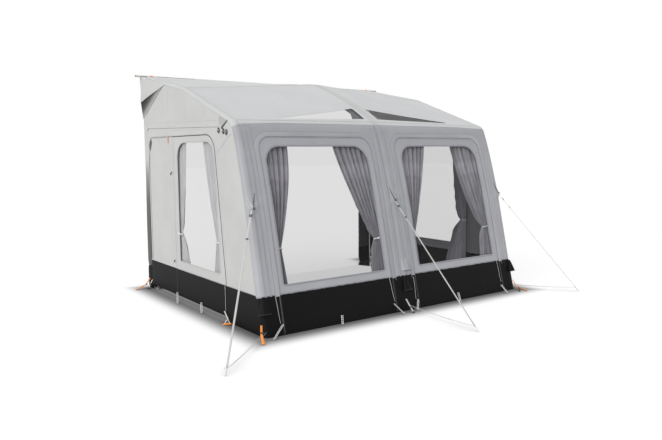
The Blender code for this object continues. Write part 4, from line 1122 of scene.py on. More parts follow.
field = edge_line(EDGE_SEAM - FELL, MUDWALL_TOP - FELL)
wall_front = field[0][0]
for word in SIDES:
    arch = [point for point in door_shape() if point[1] > MUDWALL_TOP + 0.1]
    outline = [
        (0, MUDWALL_TOP - FELL),
        (DOOR_REAR, MUDWALL_TOP - FELL),
        *arch[::-1],
        (DOOR_HINGE, MUDWALL_TOP - FELL),
        *field,
    ]
    side_cloth(
        "side_wall_cloth", word, wall_cloth, outline, [rounded(SIDE_WINDOW_CORNERS, SIDE_WINDOW_RADII)],
        node=f"side_wall_{word}", rests_on=["roof_canopy_cloth", f"air_beam_{word}"], cell=0.03
    )
    side_cloth(
        "side_window_film", word, films[f"{word}_side_film"],
        rounded(SIDE_WINDOW_CORNERS, SIDE_WINDOW_RADII, WINDOW_FELL), lift=-CLOTH,
        node=f"side_window_{word}", slot="window_film", cell=0.04, thickness=FILM
    )
    door_low, door_high = DOOR_REAR + ZIP_GAP, DOOR_HINGE - ZIP_GAP
    turn = [(u, z) for u, z in door_shape(-ZIP_GAP) if u < DOOR_HINGE - 0.1 and z > MUDWALL_TOP + 0.1]
    outline = [
        (door_low, MUDWALL_TOP - FELL),
        (door_high, MUDWALL_TOP - FELL),
        (door_high, DOOR_TOP - ZIP_GAP),
        *turn,
    ]
    door = f"{word}_door"
    side_cloth("door_cloth", word, wall_cloth, outline, body=door, node=f"side_door_{word}")
    side_cloth(
        "door_mudwall_cloth", word, mud_cloth, oblong(door_low, door_high, HEM_LIFT, MUDWALL_TOP), lift=PLY,
        body=door, node=f"door_mudwall_{word}", slot="mudwall_fabric", rests_on=[f"door_cloth_{word}"]
    )
    outline = [
        (DOOR_HINGE, HEM_LIFT),
        (HEM_STEP, HEM_LIFT - 0.004),
        (HEM_STEP + 0.012, 0),
        (edge_line(EDGE_SEAM - FELL, 0)[0][0], 0),
        (wall_front, MUDWALL_TOP),
        (DOOR_HINGE, MUDWALL_TOP),
    ]
    side_cloth("side_mudwall_cloth", word, mud_cloth, outline, lift=PLY, slot="mudwall_fabric")
    outline = oblong(0, DOOR_REAR, HEM_LIFT, MUDWALL_TOP)
    side_cloth("rear_mudwall_cloth", word, mud_cloth, outline, lift=PLY, slot="mudwall_fabric")

# Curtains
# Two woven curtains hang inside each window and are tied back to its sides. The cloth is
# gathered, so its folds are tight at the tie and open towards the hem.
CURTAIN_BEHIND = 0.02
CURTAIN_LAP = 0.03
REAR_LAP = 0.08
CURTAIN_TIE = 0.735
TIE_BAND = 0.014
# Spread at the top, the shares of it at the tie and the hem, and how full its edge hangs
CURTAINS = {
    "front_left_inner": (0.412, 0.22, 0.4, 1.35),
    "front_left_outer": (0.31, 0.2, 0.27, 1.4),
    "front_right_inner": (0.42, 0.13, 0.14, 1.0),
    "front_right_outer": (0.345, 0.26, 0.5, 2.0),
    "side_left_rear": (0.27, 0.48, 1.1, 1.3),
    "side_left_front": (0.372, 0.33, 0.5, 1.2),
    "side_right_rear": (0.27, 0.42, 0.85, 1.3),
    "side_right_front": (0.235, 0.34, 1.35, 1.4),
}
FRONT_LAPS = {"left": 0.03, "right": 0.095}
SIDE_CURTAIN_FOOT = 0.2
CURTAIN_FLAT_SHARE = 1.35
CURTAIN_ROWS = 84
CURTAIN_COLUMNS = 190
CURTAIN_THICKNESS = 0.0008
FOLD_PITCH = 0.068
FOLD_DEPTH = 0.03
# Woven curtain cloth: matt grey-violet, with a lighter band across it below the top
curtain_cloth = cloth_finish("woven_curtain_cloth", "#d8d6de", "#b9b7bf", 3.0, 0.85, 0.25, 0.2, 0.2)
banded(curtain_cloth, 2.0, [(0.0, 0.8), (1.33, 0.84), (1.36, 1.0), (1.45, 1.0), (1.49, 0.8), (2.0, 0.82)])
# The same cloth where the sun shines through it, so that it looks paler
sunlit_curtain_cloth = cloth_finish(
    "woven_curtain_cloth_sunlit", "#f4f4f7", "#e2e2e6", 3.0, 0.85, 0.25, 0.2, 0.2
)


def curtain(name, surface, outer, way, shape, top, foot, seed, body, node, finish):
    """A curtain gathered at its top, drawn to its outer side by a tie and hanging from there."""
    low, high = foot - CURTAIN_LAP, top + CURTAIN_LAP
    spread, tie_share, hem_share, fall = shape
    folds = max(3, round(spread / FOLD_PITCH))
    shallow = finish == sunlit_curtain_cloth
    flat_width = (1.0 if shallow else CURTAIN_FLAT_SHARE) * spread
    points, places = [], []
    for row in range(CURTAIN_ROWS + 1):
        height = low + (high - low) * row / CURTAIN_ROWS
        over = min(max((height - CURTAIN_TIE) / (high - CURTAIN_TIE), 0), 1)
        under = min(max((CURTAIN_TIE - height) / (CURTAIN_TIE - low), 0), 1)
        width = spread * (tie_share + (1 - tie_share) * (1 - (1 - over) ** fall))
        width += spread * (hem_share - tie_share) * under**0.75
        depth = FOLD_DEPTH * (1 - 0.25 * over) * (0.3 if shallow else 1)
        depth *= 1 - 0.6 * math.exp(-(((height - CURTAIN_TIE) / 0.06) ** 2))
        for column in range(CURTAIN_COLUMNS + 1):
            share = column / CURTAIN_COLUMNS
            wander = 0.35 * soft_noise(share * 2.5, height * 0.6, seed)
            phase = math.pi * (folds * share + wander) + seed
            uneven = 0.6 + 2.2 * abs(soft_noise(share * 5, height * 0.3, seed + 3))
            fold = 2 * depth * max(uneven, 0.25) * (abs(math.sin(phase)) ** 0.42 - 1)
            fold += 0.1 * depth * math.sin(5.3 * phase + 2 * height + seed)
            slide = 0.22 * width / folds * math.sin(2 * phase) * share * (1 - share) * 4 / math.pi
            sag = 0.06 * share * (1 - over) * (height > CURTAIN_TIE) * over * 2
            across = outer + way * (width * share + slide)
            points.append(surface(across, max(height - sag, low), -CURTAIN_BEHIND + fold))
            places.append((flat_width * share, height))
    faces = []
    stride = CURTAIN_COLUMNS + 1
    for row in range(CURTAIN_ROWS):
        for column in range(CURTAIN_COLUMNS):
            corner = row * stride + column
            faces.append((corner, corner + 1, corner + stride + 1, corner + stride))
    made = finish_mesh(name, points, faces, finish, places)
    thickened(made, CURTAIN_THICKNESS)
    carried(made, body, "curtain_fabric", node)


def front_inner(x, height, lift=0.0):
    """A place behind the front wall, by width and height."""
    depth, tall, out_depth, out_height = skin_profile(run_at(height))
    return Vector((x, WALL_Y - depth - out_depth * lift, tall + out_height * lift))


def side_inner(side):
    """A place behind a side wall, by distance from the caravan and height."""

    def place(depth, height, lift=0.0):
        return Vector((side * (HALF_WIDTH + lift), WALL_Y - depth, height))

    return place


hangings = []
for number, (word, side) in enumerate(SIDES.items()):
    near, far = WINDOW_NEAR - CURTAIN_LAP, WINDOW_FAR[side] + CURTAIN_LAP
    rear, front = SIDE_WINDOW_CORNERS[0][0] - REAR_LAP, SIDE_WINDOW_CORNERS[1][0] + FRONT_LAPS[word]
    for wall, role, outer, way, seed in (
        ("front", "inner", side * near, side, 1),
        ("front", "outer", side * far, -side, 3),
        ("side", "rear", rear, 1, 2),
        ("side", "front", front, -1, 4),
    ):
        if wall == "front":
            surface, body, hung_on = front_inner, f"{word}_front_panel", f"front_panel_head_{word}"
            top, foot = WINDOW_HEAD, WINDOW_FOOT
        else:
            surface, body, hung_on = side_inner(side), "awning", f"side_wall_cloth_{word}"
            top = SIDE_WINDOW_CORNERS[2][1]
            foot = SIDE_WINDOW_CORNERS[0][1] if side < 0 else SIDE_CURTAIN_FOOT
        shape = CURTAINS[f"{wall}_{word}_{role}"]
        sunlit = wall == "side" and side < 0
        curtain(
            f"{wall}_curtain_cloth_{word}_{role}", surface, outer, way, shape, top, foot, number * 4 + seed,
            body, f"{wall}_curtain_{word}_{role}",
            sunlit_curtain_cloth if sunlit else curtain_cloth
        )
        hangings.append((f"{wall}_{word}_{role}", surface, outer, way, shape, body))

# Bands and seams
# Lighter bands are sewn along the roof's side edges and its middle. Narrow felled seams run
# beside the bands, across the knee and the front edge, down the legs and along the gables.
EDGE_BAND_FROM = 1.595
EDGE_BAND_TO = FLAT_HALF + 0.75 * CORNER_TURN
BAND_LIFT = 0.0018
SEAM_WIDTH = 0.007
SEAM_RISE = 0.0009
LEG_SEAMS = (0.062, 0.105, 1.497, 1.548, 1.598)
GABLE_SEAM = 1.867
GABLE_SEAM_FALL = 0.041
GABLE_SEAM_END = 1.8
# Felled seams: two folded layers of the cloth, painted a little darker than the cloth as painted shade
# along each seam
front_seam = cloth_finish("felled_seam_grey", "#a0a1a8", "#8f9097", 3.0, 0.7, 0.05, 0.2)
leg_seam = cloth_finish("felled_seam_mid_grey", "#a9aab0", "#a0a1a7", 3.0, 0.7, 0.05, 0.2)
roof_seam = cloth_finish("felled_seam_pale", "#c4c4c1", "#b3b3ae", 3.0, 0.7, 0.05, 0.2)

for word, side in SIDES.items():
    cloth(
        f"roof_edge_band_{word}", band_cloth, skin,
        turned_over(oblong(EDGE_BAND_FROM, EDGE_BAND_TO, ROOF_SEAM - FELL - SEAM_DIP, REAR - 0.004), side),
        lift=BAND_LIFT, rests_on=["roof_canopy_cloth"], cell=0.02, thickness=THIN_CLOTH
    )
cloth(
    "roof_centre_band", band_cloth, skin,
    oblong(-CENTRE_BAND / 2, CENTRE_BAND / 2, ROOF_SEAM - FELL, REAR - 0.004), lift=BAND_LIFT,
    rests_on=["roof_canopy_cloth"], cell=0.02, thickness=THIN_CLOTH
)
cloth(
    "front_centre_band", front_cloth_shaded, skin, oblong(-CENTRE_BAND / 2, CENTRE_BAND / 2, seam, ROOF_SEAM),
    lift=BAND_LIFT, slot="wall_fabric", rests_on=["front_leg_cloth_centre"], cell=0.016,
    thickness=THIN_CLOTH
)


def seam_line(name, finish, surface, path, slot="wall_fabric", lift=PLY, width=SEAM_WIDTH, body="awning"):
    """A felled seam along a line on a surface."""
    return strip(name, finish, surface, path, width, lift, SEAM_RISE, body, slot, crown=0.0004)


back = REAR - 0.01
front_edge = run_back(2.052)
lines = [
    ("roof_seam_knee", roof_seam, [(-EDGE_BAND_FROM, KNEE), (EDGE_BAND_FROM, KNEE)], "roof_fabric"),
    (
        "roof_seam_front",
        roof_seam,
        [(-EDGE_BAND_FROM, front_edge), (EDGE_BAND_FROM, front_edge)],
        "roof_fabric",
    ),
    (
        "roof_seam_eaves",
        front_seam,
        [
            (-SKIN_EDGE, ROOF_SEAM - SEAM_DIP),
            (-DIP_FROM, ROOF_SEAM),
            (DIP_FROM, ROOF_SEAM),
            (SKIN_EDGE, ROOF_SEAM - SEAM_DIP),
        ],
        "wall_fabric",
    ),
]
for word, side in SIDES.items():
    middle, edge = side * CENTRE_BAND / 2, side * EDGE_BAND_FROM
    lines.append(
        (f"roof_seam_centre_{word}", roof_seam, [(middle, ROOF_SEAM), (middle, back)], "roof_fabric")
    )
    lines.append((f"roof_seam_edge_{word}", roof_seam, [(edge, ROOF_SEAM), (edge, back)], "roof_fabric"))
    lines.append(
        (f"front_seam_centre_{word}", front_seam, [(middle, seam), (middle, ROOF_SEAM)], "wall_fabric")
    )
    for number, place in enumerate(LEG_SEAMS):
        path = [(side * place, seam + 0.012), (side * place, ROOF_SEAM - 0.01)]
        lines.append((f"leg_seam_{word}_{number}", leg_seam, path, "wall_fabric"))
    path = [
        (side * LEG_FOOT_EDGE, seam),
        (side * SKIN_EDGE, ROOF_SEAM),
        (side * ROOF_EDGE, ROOF_SEAM + 0.12),
        (side * ROOF_EDGE, REAR - 0.02),
    ]
    lines.append((f"gable_edge_seam_{word}", roof_seam, path, "roof_fabric"))
for name, finish, path, slot in lines:
    lift = BAND_LIFT if "centre" in name else PLY
    seam_line(name, finish, skin, path, slot, lift, 0.005 if "leg" in name else SEAM_WIDTH)

# The black cloth is sewn on with a narrow bound edge
for name, start, end in (
    ("centre", -0.148, 0.148),
    ("left", -LEG_FOOT_EDGE, -1.46),
    ("right", 1.46, LEG_FOOT_EDGE),
):
    seam_line(f"mudwall_seam_{name}", front_seam, skin, [(start, seam), (end, seam)], lift=0.001)
for word, side in SIDES.items():
    path = [(side * 0.155, seam), (side * 1.45, seam)]
    seam_line(f"panel_mudwall_seam_{word}", front_seam, skin, path, lift=0.001, body=f"{word}_front_panel")

# Zips
# A coil zip runs round each front panel and over each door and side window. Its dark tapes lie
# half on the panel and half on the wall, and a flap of wall cloth covers the outer half.
TAPE_WIDTH = 0.008
COIL_PITCH = 0.006
COIL_LIFT = PLY + 0.0016
COIL_SIZE = (0.0034, 0.0032, 0.002)
FLAP_WIDTH = 0.044
FLAP_OUT = 0.0198
FLAP_RISE = 0.0022
BINDING_LIFT = PLY + 0.0012
FLAP_FOOT = MUDWALL_TOP + 0.004
SIDE_ZIP_FRONT = 1.70
SIDE_ZIP_LEAN = 0.1904
SIDE_ZIP_RADIUS = 0.19
# Polyester zip tape: dark grey and finely woven
zip_tape = cloth_finish("woven_zip_tape", "#37383b", "#2b2c2f", 2.0, 0.75, 0.1, 0.2)
# The coil is moulded nylon
nylon_coil = moulded_finish("moulded_nylon_coil", "#303136", 0.4, 0.6)
# Polyester sewing thread, off-white
sewing_thread = moulded_finish("twisted_sewing_thread", "#e2e2dd", 0.7, 0.4)


def repeat_tree():
    """Node group that sets copies of a small rounded block along a line at an even spacing."""
    made = bpy.data.node_groups.new("blocks_along_line", "GeometryNodeTree")
    face = made.interface
    face.new_socket("Line", in_out="INPUT", socket_type="NodeSocketGeometry")
    for name in ("Spacing", "Length", "Width", "Height"):
        face.new_socket(name, in_out="INPUT", socket_type="NodeSocketFloat")
    face.new_socket("Finish", in_out="INPUT", socket_type="NodeSocketMaterial")
    face.new_socket("Blocks", in_out="OUTPUT", socket_type="NodeSocketGeometry")
    given = add_node(made, "NodeGroupInput").outputs
    curve = add_node(made, "GeometryNodeMeshToCurve", {"Mesh": given["Line"]}).outputs[0]
    spaced = add_node(
        made, "GeometryNodeResampleCurve", {"Curve": curve, "Length": given["Spacing"]}, mode="LENGTH"
    ).outputs[0]
    run = add_node(made, "GeometryNodeInputTangent").outputs[0]
    out = add_node(made, "GeometryNodeInputNamedAttribute", data_type="FLOAT_VECTOR")
    out.inputs["Name"].default_value = "out"
    ahead = add_node(made, "FunctionNodeAlignRotationToVector", {"Vector": run}, axis="X")
    upright = add_node(
        made, "FunctionNodeAlignRotationToVector",
        {"Rotation": ahead.outputs[0], "Vector": out.outputs["Attribute"]}, axis="Z", pivot_axis="X"
    )
    size = add_node(
        made, "ShaderNodeCombineXYZ", {"X": given["Length"], "Y": given["Width"], "Z": given["Height"]}
    ).outputs[0]
    block = add_node(made, "GeometryNodeMeshIcoSphere", {"Radius": 0.5, "Subdivisions": 1}).outputs[0]
    placed = add_node(
        made, "GeometryNodeInstanceOnPoints",
        {"Points": spaced, "Instance": block, "Rotation": upright.outputs[0], "Scale": size}
    ).outputs[0]
    real = add_node(made, "GeometryNodeRealizeInstances", {"Geometry": placed}).outputs[0]
    painted = add_node(
        made, "GeometryNodeSetMaterial", {"Geometry": real, "Material": given["Finish"]}
    ).outputs[0]
    add_node(made, "NodeGroupOutput", {"Blocks": painted})
    return made


REPEAT = repeat_tree()


def blocks_along(name, surface, path, spacing, size, finish, lift, body="awning", slot="wall_fabric"):
    """Small rounded blocks along a line on a surface: a zip's coil or a row of stitches."""
    line = open_line(path, 0.03)
    low = [surface(a, b, lift) for a, b in line]
    high = [surface(a, b, lift + 0.01) for a, b in line]
    mesh = bpy.data.meshes.new(name)
    mesh.from_pydata([tuple(p) for p in low], [(i, i + 1) for i in range(len(low) - 1)], [])
    ways = mesh.attributes.new("out", "FLOAT_VECTOR", "POINT")
    ways.data.foreach_set("vector", [c for a, b in zip(low, high) for c in (b - a).normalized()])
    guide = new_object(name, mesh)
    nodes = guide.modifiers.new("blocks", "NODES")
    nodes.node_group = REPEAT
    wanted = {"Spacing": spacing, "Length": size[0], "Width": size[1], "Height": size[2], "Finish": finish}
    for item in REPEAT.interface.items_tree:
        if item.in_out == "INPUT" and item.name in wanted:
            nodes[item.identifier] = wanted[item.name]
    bpy.context.view_layer.update()
    seen = guide.evaluated_get(bpy.context.evaluated_depsgraph_get())
    real = bpy.data.meshes.new_from_object(seen)
    bpy.data.objects.remove(guide)
    real.name = name
    real.materials.clear()
    real.materials.append(finish)
    real.polygons.foreach_set("material_index", [0] * len(real.polygons))
    return carried(new_object(name, real), body, slot)


def open_path(side, grow, low):
    """A front panel's zip line from its outer foot, over the top, to its inner foot."""
    outline = zip_outline(1, grow, low)
    return [(side * x, run) for x, run in on_skin(outline[1:] + outline[:1])]


for word, side in SIDES.items():
    panel_body = f"{word}_front_panel"
    shift = TAPE_WIDTH / 2 + 0.0008
    for role, grow, body in (("panel", -shift, panel_body), ("wall", shift, "awning")):
        path = open_path(side, grow, 0.012)
        strip(f"zip_tape_{role}_{word}", zip_tape, skin, path, TAPE_WIDTH, PLY, 0.001, body)
        path = open_path(side, grow / 3, 0.02)
        name = f"zip_coil_{role}_{word}"
        blocks_along(name, skin, path, COIL_PITCH, COIL_SIZE, nylon_coil, COIL_LIFT, body)
    path = open_path(side, FLAP_OUT, FLAP_FOOT)
    strip(f"zip_flap_{word}", front_cloth_shaded, skin, path, FLAP_WIDTH, PLY + 0.0018, FLAP_RISE, crown=0.0012)
    path = open_path(side, -0.0065, FLAP_FOOT)
    strip(f"zip_binding_{word}", front_seam, skin, path, 0.01, BINDING_LIFT, body=panel_body)
    path = open_path(side, FLAP_OUT + FLAP_WIDTH / 2 + 0.001, FLAP_FOOT)
    strip(f"zip_flap_edge_{word}", front_seam, skin, path, 0.004, PLY, 0.0016)


def side_zip(grow=0.0):
    """The zip's line on a side wall, from the front foot over the top to the rear foot."""
    corners = oblong(DOOR_REAR, SIDE_ZIP_FRONT, 0.0, DOOR_TOP)
    corners[1] = (SIDE_ZIP_FRONT + SIDE_ZIP_LEAN, 0.0)
    outline = rounded(corners, [0, 0, SIDE_ZIP_RADIUS, DOOR_RADIUS], grow)
    return outline[1:] + outline[:1]


def side_strip(kind, word, finish, path, width, lift=0.0, height=0.0008, **given):
    """A band on one side wall, drawn by distance from the caravan and height."""
    surface = side_surface(SIDES[word])
    strip(f"{kind}_{word}", finish, surface, path, width, lift - SIDE_SET_IN, height, **given)


for word, side in SIDES.items():
    surface, door = side_surface(side), f"{word}_door"
    zip_line = side_zip()
    door_part = [point for point in zip_line if point[0] < DOOR_HINGE and point[1] > 0.5]
    door_part = [(DOOR_HINGE, DOOR_TOP), *door_part, (DOOR_REAR, HEM_LIFT + 0.01)]
    wall_part = [(u, max(z, MUDWALL_TOP)) for u, z in zip_line if u > DOOR_HINGE]
    wall_part.append((DOOR_HINGE, DOOR_TOP))
    for role, path, body in (("door", door_part, door), ("window", wall_part, "awning")):
        side_strip(f"side_zip_tape_{role}", word, zip_tape, path, TAPE_WIDTH, PLY, 0.001, body=body)
        blocks_along(
            f"side_zip_coil_{role}_{word}", surface, path, COIL_PITCH, COIL_SIZE, nylon_coil,
            COIL_LIFT - SIDE_SET_IN, body
        )
    flap = [(u, max(z, MUDWALL_TOP)) for u, z in side_zip(0.024) if z > 1.2 or u > 1]
    side_strip("side_zip_flap", word, wall_cloth, flap, 0.03, 0.0, FLAP_RISE, crown=0.001)
    binding = [point for point in door_part if point[1] > MUDWALL_TOP] + [(DOOR_REAR, MUDWALL_TOP)]
    binding = [(u + 0.002 * (z < 1.6), z - 0.002) for u, z in binding]
    lift = BINDING_LIFT
    side_strip("side_zip_binding", word, roof_seam, binding, 0.006, lift, 0.0006, body=door)
    lift = PLY - SIDE_SET_IN
    hinge = [(DOOR_HINGE, MUDWALL_TOP), (DOOR_HINGE, DOOR_TOP - 0.01)]
    seam_line(f"door_hinge_seam_{word}", roof_seam, surface, hinge, lift=lift)
    hinge = [(DOOR_HINGE, HEM_LIFT + 0.01), (DOOR_HINGE, MUDWALL_TOP)]
    seam_line(f"door_hinge_mudwall_seam_{word}", zip_tape, surface, hinge, lift=lift)
    fall = GABLE_SEAM_FALL / GABLE_SEAM_END
    gable = [(0.012, GABLE_SEAM), (GABLE_SEAM_END, GABLE_SEAM - GABLE_SEAM_END * fall)]
    side_strip("gable_seam", word, wall_cloth, gable, 0.03, 0.0, 0.0016)
    under = [(u, z - 0.017) for u, z in gable]
    side_strip("gable_seam_shade", word, zip_tape, under, 0.0025, 0.0, 0.0006)
    above = [(u, z + 0.045) for u, z in gable]
    seam_line(f"gable_fold_{word}", roof_seam, surface, above, lift=-SIDE_SET_IN, width=0.004)
    for number, depth in enumerate((0.62, 1.05)):
        top = float(np.interp(-depth, -SKIN_LINE[EAVES_INDEX:, 0], SKIN_LINE[EAVES_INDEX:, 1])) - 0.08
        path = [(depth, GABLE_SEAM - depth * fall), (depth, top)]
        name = f"gable_panel_seam_{word}_{number}"
        seam_line(name, roof_seam, surface, path, lift=-SIDE_SET_IN, width=0.005)
    path = [(DOOR_HINGE, MUDWALL_TOP), (wall_front, MUDWALL_TOP)]
    seam_line(f"side_mudwall_seam_{word}", front_seam, surface, path, lift=lift)

# Window rims
# Each film is welded behind its cloth, and the weld shows as a flat rim round the opening. A
# row of white stitches runs along the foot of the front windows.
RIM_WIDTH = 0.014
STITCH_SIZE = (0.009, 0.0024, 0.0018)
STITCH_PITCH = 0.02
for word, side in SIDES.items():
    panel_body = f"{word}_front_panel"
    rim = window_outline(side, RIM_WIDTH / 2 + 0.002)
    name = f"window_rim_{word}"
    strip(name, front_seam, skin, rim, RIM_WIDTH, PLY, body=panel_body, closed=True)
    low = run_at(WINDOW_FOOT - 0.006)
    path = [(side * (WINDOW_NEAR + 0.02), low), (side * (WINDOW_FAR[side] - 0.02), low)]
    name, lift = f"window_stitches_{word}", COIL_LIFT
    blocks_along(name, skin, path, STITCH_PITCH, STITCH_SIZE, sewing_thread, lift, panel_body)
    rim = rounded(SIDE_WINDOW_CORNERS, SIDE_WINDOW_RADII, RIM_WIDTH / 2 + 0.002)
    side_strip("side_window_rim", word, roof_seam, rim, RIM_WIDTH, PLY, closed=True)

# Caravan rail
# A painted rail holds the roof's bead and stands out past both sides. A black disc in each of its
# open ends is painted shade for the bore. An orange tab marks each end of the bead, and a dark strip
# in front of it is painted shade in the gap where the roof sags below the rail.
RAIL_X = 1.76
RAIL_Y = 1.289694
RAIL_Z = 2.439
RAIL_BORE = 0.0098
BEAD_WIDTH = 0.0088
TAB_X = 1.575
TAB_BAND = 0.036
ORANGE = "#f79a45"
# The rail is aluminium painted a warm white
painted_rail = moulded_finish("painted_aluminium_white", "#e3e3de", 0.38, 0.6)
# Bright orange webbing, woven like the straps
orange_webbing = cloth_finish("woven_orange_webbing", ORANGE, "#e98a36", 2.5, 0.75, 0.1, 0.2)


def repaint(node, finish):
    """Gives a CAD node that stays in the picture a finish."""
    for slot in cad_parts[node].material_slots:
        slot.material = finish


repaint("awning_rail", painted_rail)
for word, side in SIDES.items():
    rings = []
    for ahead, radius in ((0.0, 0.001), (0.0, RAIL_BORE), (0.0012, RAIL_BORE), (0.0012, 0.001)):
        ring = []
        for angle in around(24):
            y, z = radius * math.cos(angle), radius * math.sin(angle)
            ring.append(Vector((side * (RAIL_X + ahead), RAIL_Y + y * side, RAIL_Z + z)))
        rings.append(ring)
    # A black disc in each open end is painted shade: the dark inside of the rail's bore
    bore = tube(f"rail_bore_{word}", rings, black_acetal, smooth=False)
    carried(bore, "awning", "moulded_hardware")
    tab = flat_strap(
        f"bead_tab_{word}",
        [
            (side * TAB_X, RAIL_Y - 0.002, RAIL_Z + 0.0135),
            (side * TAB_X, RAIL_Y - 0.0145, RAIL_Z + 0.007),
            (side * TAB_X, RAIL_Y - 0.0175, RAIL_Z - 0.004),
            (side * TAB_X, RAIL_Y - 0.03, RAIL_Z - 0.011),
        ],
        TAB_BAND, 0.0014, Vector((0, -1, 1)), orange_webbing, 12
    )
    carried(tab, "awning", "orange_trim")
bead, _ = round_cord(
    "roof_bead_cord", [(-1.649, RAIL_Y - 0.004, RAIL_Z), (1.649, RAIL_Y - 0.004, RAIL_Z)], BEAD_WIDTH,
    roof_cloth, 40, 12
)
carried(bead, "awning", "roof_fabric", "roof_bead")
# Painted shade: a dark strip along the roof's rear edge stands for the gap where the roof sags below the
# rail
path = [(-1.52, REAR - 0.006), (-1.05, REAR - 0.006)]
strip("rail_gap_shade", zip_tape, skin, path, 0.009, BAND_LIFT, 0.0012, slot="roof_fabric")

# Air beams
# Three inflated beams stand inside the legs and run back under the roof to the rail, and two
# cross beams link them behind the front edge. Their woven sleeves pucker inside each bend.
BEAM_RADIUS = 0.0465
BEAM_IN = 0.0515
BEAM_X = 1.5977
BEAM_RINGS = 220
BEAM_SIDES = 28
PUCKER_PITCH = 0.032
PUCKER = 0.0035
CROSS_BEAM_FROM = 0.0505
CROSS_BEAM_TO = 1.547
CROSS_BEAM_Y = -0.779735
CROSS_BEAM_Z = 1.801059
# Woven polyester sleeve over a plastic bladder, mid grey
sleeve_cloth = cloth_finish("woven_beam_sleeve", "#8d8e93", "#7f8085", 3.0, 0.7, 0.1, 0.2, 0.3)


def beam(name, centres, across, bends, node):
    """An inflated tube round a line in a plane, closed by rounded ends."""
    line, at = along(centres, BEAM_RINGS)
    total = float(at[-1])
    rings, places = [], []
    for index, place in enumerate(line):
        run = (line[min(index + 1, BEAM_RINGS - 1)] - line[max(index - 1, 0)]).normalized()
        out = run.cross(across).normalized()
        end = min(float(at[index]), total - float(at[index])) / BEAM_RADIUS
        cap = math.sqrt(max(1 - (1 - min(end, 1)) ** 2, 0.04))
        ring = []
        for angle in around(BEAM_SIDES):
            radius = BEAM_RADIUS * cap
            for bend, width in bends:
                near = math.exp(-(((at[index] - bend) / width) ** 2))
                wave = 0.5 + 0.5 * math.cos(2 * math.pi * at[index] / PUCKER_PITCH)
                radius -= PUCKER * near * wave * max(-math.cos(angle), 0) * cap
            ring.append(place + (out * math.cos(angle) + across * math.sin(angle)) * radius)
            places.append((angle * BEAM_RADIUS, at[index]))
        rings.append(ring)
    made = outward(tube(name, rings, sleeve_cloth, places))
    carried(made, "awning", "beam_sleeve", node)


for word, x in {"left": -BEAM_X, "centre": 0.0, "right": BEAM_X}.items():
    stops = np.linspace(0.006, REAR - 0.012, BEAM_RINGS)
    centres = [skin(x, float(stop), -BEAM_IN) for stop in stops]
    bends = [((EAVES + ROOF_SEAM) / 2, 0.11), (KNEE, 0.06)]
    beam(f"air_beam_sleeve_{word}", centres, Vector((1, 0, 0)), bends, f"air_beam_{word}")
for word, side in SIDES.items():
    centres = [
        (side * (CROSS_BEAM_FROM + (CROSS_BEAM_TO - CROSS_BEAM_FROM) * share), CROSS_BEAM_Y, CROSS_BEAM_Z)
        for share in np.linspace(0, 1, 60)
    ]
    beam(f"cross_beam_sleeve_{word}", centres, UP, [], f"cross_beam_{word}")

# Rear poles and valve
# A telescopic steel pole stands behind each pad, and a moulded valve sits under the centre hood.
for word in SIDES:
    repaint(f"rear_pole_upper_{word}", plated_steel)
    repaint(f"rear_pole_lower_{word}", plated_steel)
repaint("inflation_valve", black_acetal)

# Rear pads
# A foam pad in pale cloth closes each rear edge against the caravan. Its foot and the quilted
# skirt behind it are black, and a dark strip beside the door is painted shade in the slit there.
PAD_X = 1.635
PAD_HALF = 0.0145
PAD_BLACK = 0.27
PAD_PROFILE = [(0.0, 0.13), (0.75, 0.125), (1.3, 0.105), (2.147, 0.105), (2.398, 0.0215)]
PAD_RINGS = 90
SKIRT_X = 1.536
SKIRT_HALF = 0.094
SKIRT_DEEP = 0.0145
SKIRT_TOP = 0.76
SLIT_WIDTH = 0.02
TOE_WIDTH = 0.18
TOE_LENGTH = 0.44
TOE = [(1.45, 0.01, 0.02), (1.62, 0.01, 0.02), (1.285, 0.425, 0.004), (1.221, 0.255, 0.004)]
# Pad cloth on the black parts is matt and soft over the foam
skirt_cloth = cloth_finish("black_foam_backed_cloth", "#0f0f10", "#0b0b0c", 4.0, 0.8, 0.0, 0.3, 0.2, 1.3)
# The quilted skirt is dark grey above its black foot
skirt_finish = cloth_finish("quilted_skirt_cloth", "#6c6d72", "#5f6065", 4.0, 0.8, 0.05, 0.3, 0.2)
banded(skirt_finish, 1.0, [(0.0, 0.03), (0.205, 0.03), (0.215, 1.0)])
# The pads' pale cloth is painted darker low down: painted shade where it is tucked behind the door
pad_cloth_painted_shade = cloth_finish("pad_cover_painted_shade", "#c5c5c4", "#bcbcbb", 4.0, 0.7, 0.05, 0.2, 0.3)
banded(pad_cloth_painted_shade, 2.4, [(0.0, 0.13), (0.75, 0.16), (1.06, 0.22), (1.32, 0.5), (1.5, 1.0)])
# A deep fold's shade in the wall's cloth
fold_shade = cloth_finish("shaded_fold_cloth", "#5f6063", "#4c4d50", 4.0, 0.7, 0.0, 0.12, 0.4)


def stuffed(name, heights, place, half, material, seed, node=None):
    """A stuffed upright piece: a rounded rectangle at each height, closed at both ends."""
    rings, places = [], []
    total = len(heights)
    for index, height in enumerate(heights):
        (x, y), (wide, deep) = place(height), half(height)
        end = min(index, total - 1 - index)
        shrink = (0.72, 0.9, 0.97)[end] if end < 3 else 1.0
        ring = []
        for angle in around(28):
            c, s = math.cos(angle), math.sin(angle)
            a = math.copysign(abs(c) ** 0.45, c) * wide * shrink
            b = math.copysign(abs(s) ** 0.45, s) * deep * shrink
            swell = 1 + 0.04 * soft_noise(angle * 1.5, height * 3, seed)
            ring.append((x + a * min(swell, 1.0), y + b * min(swell, 1.0), height))
            places.append((angle * (wide + deep) / 2, height))
        rings.append(ring)
    made = tube(name, rings, material, places)
    carried(made, "awning", "pad_foam", node)


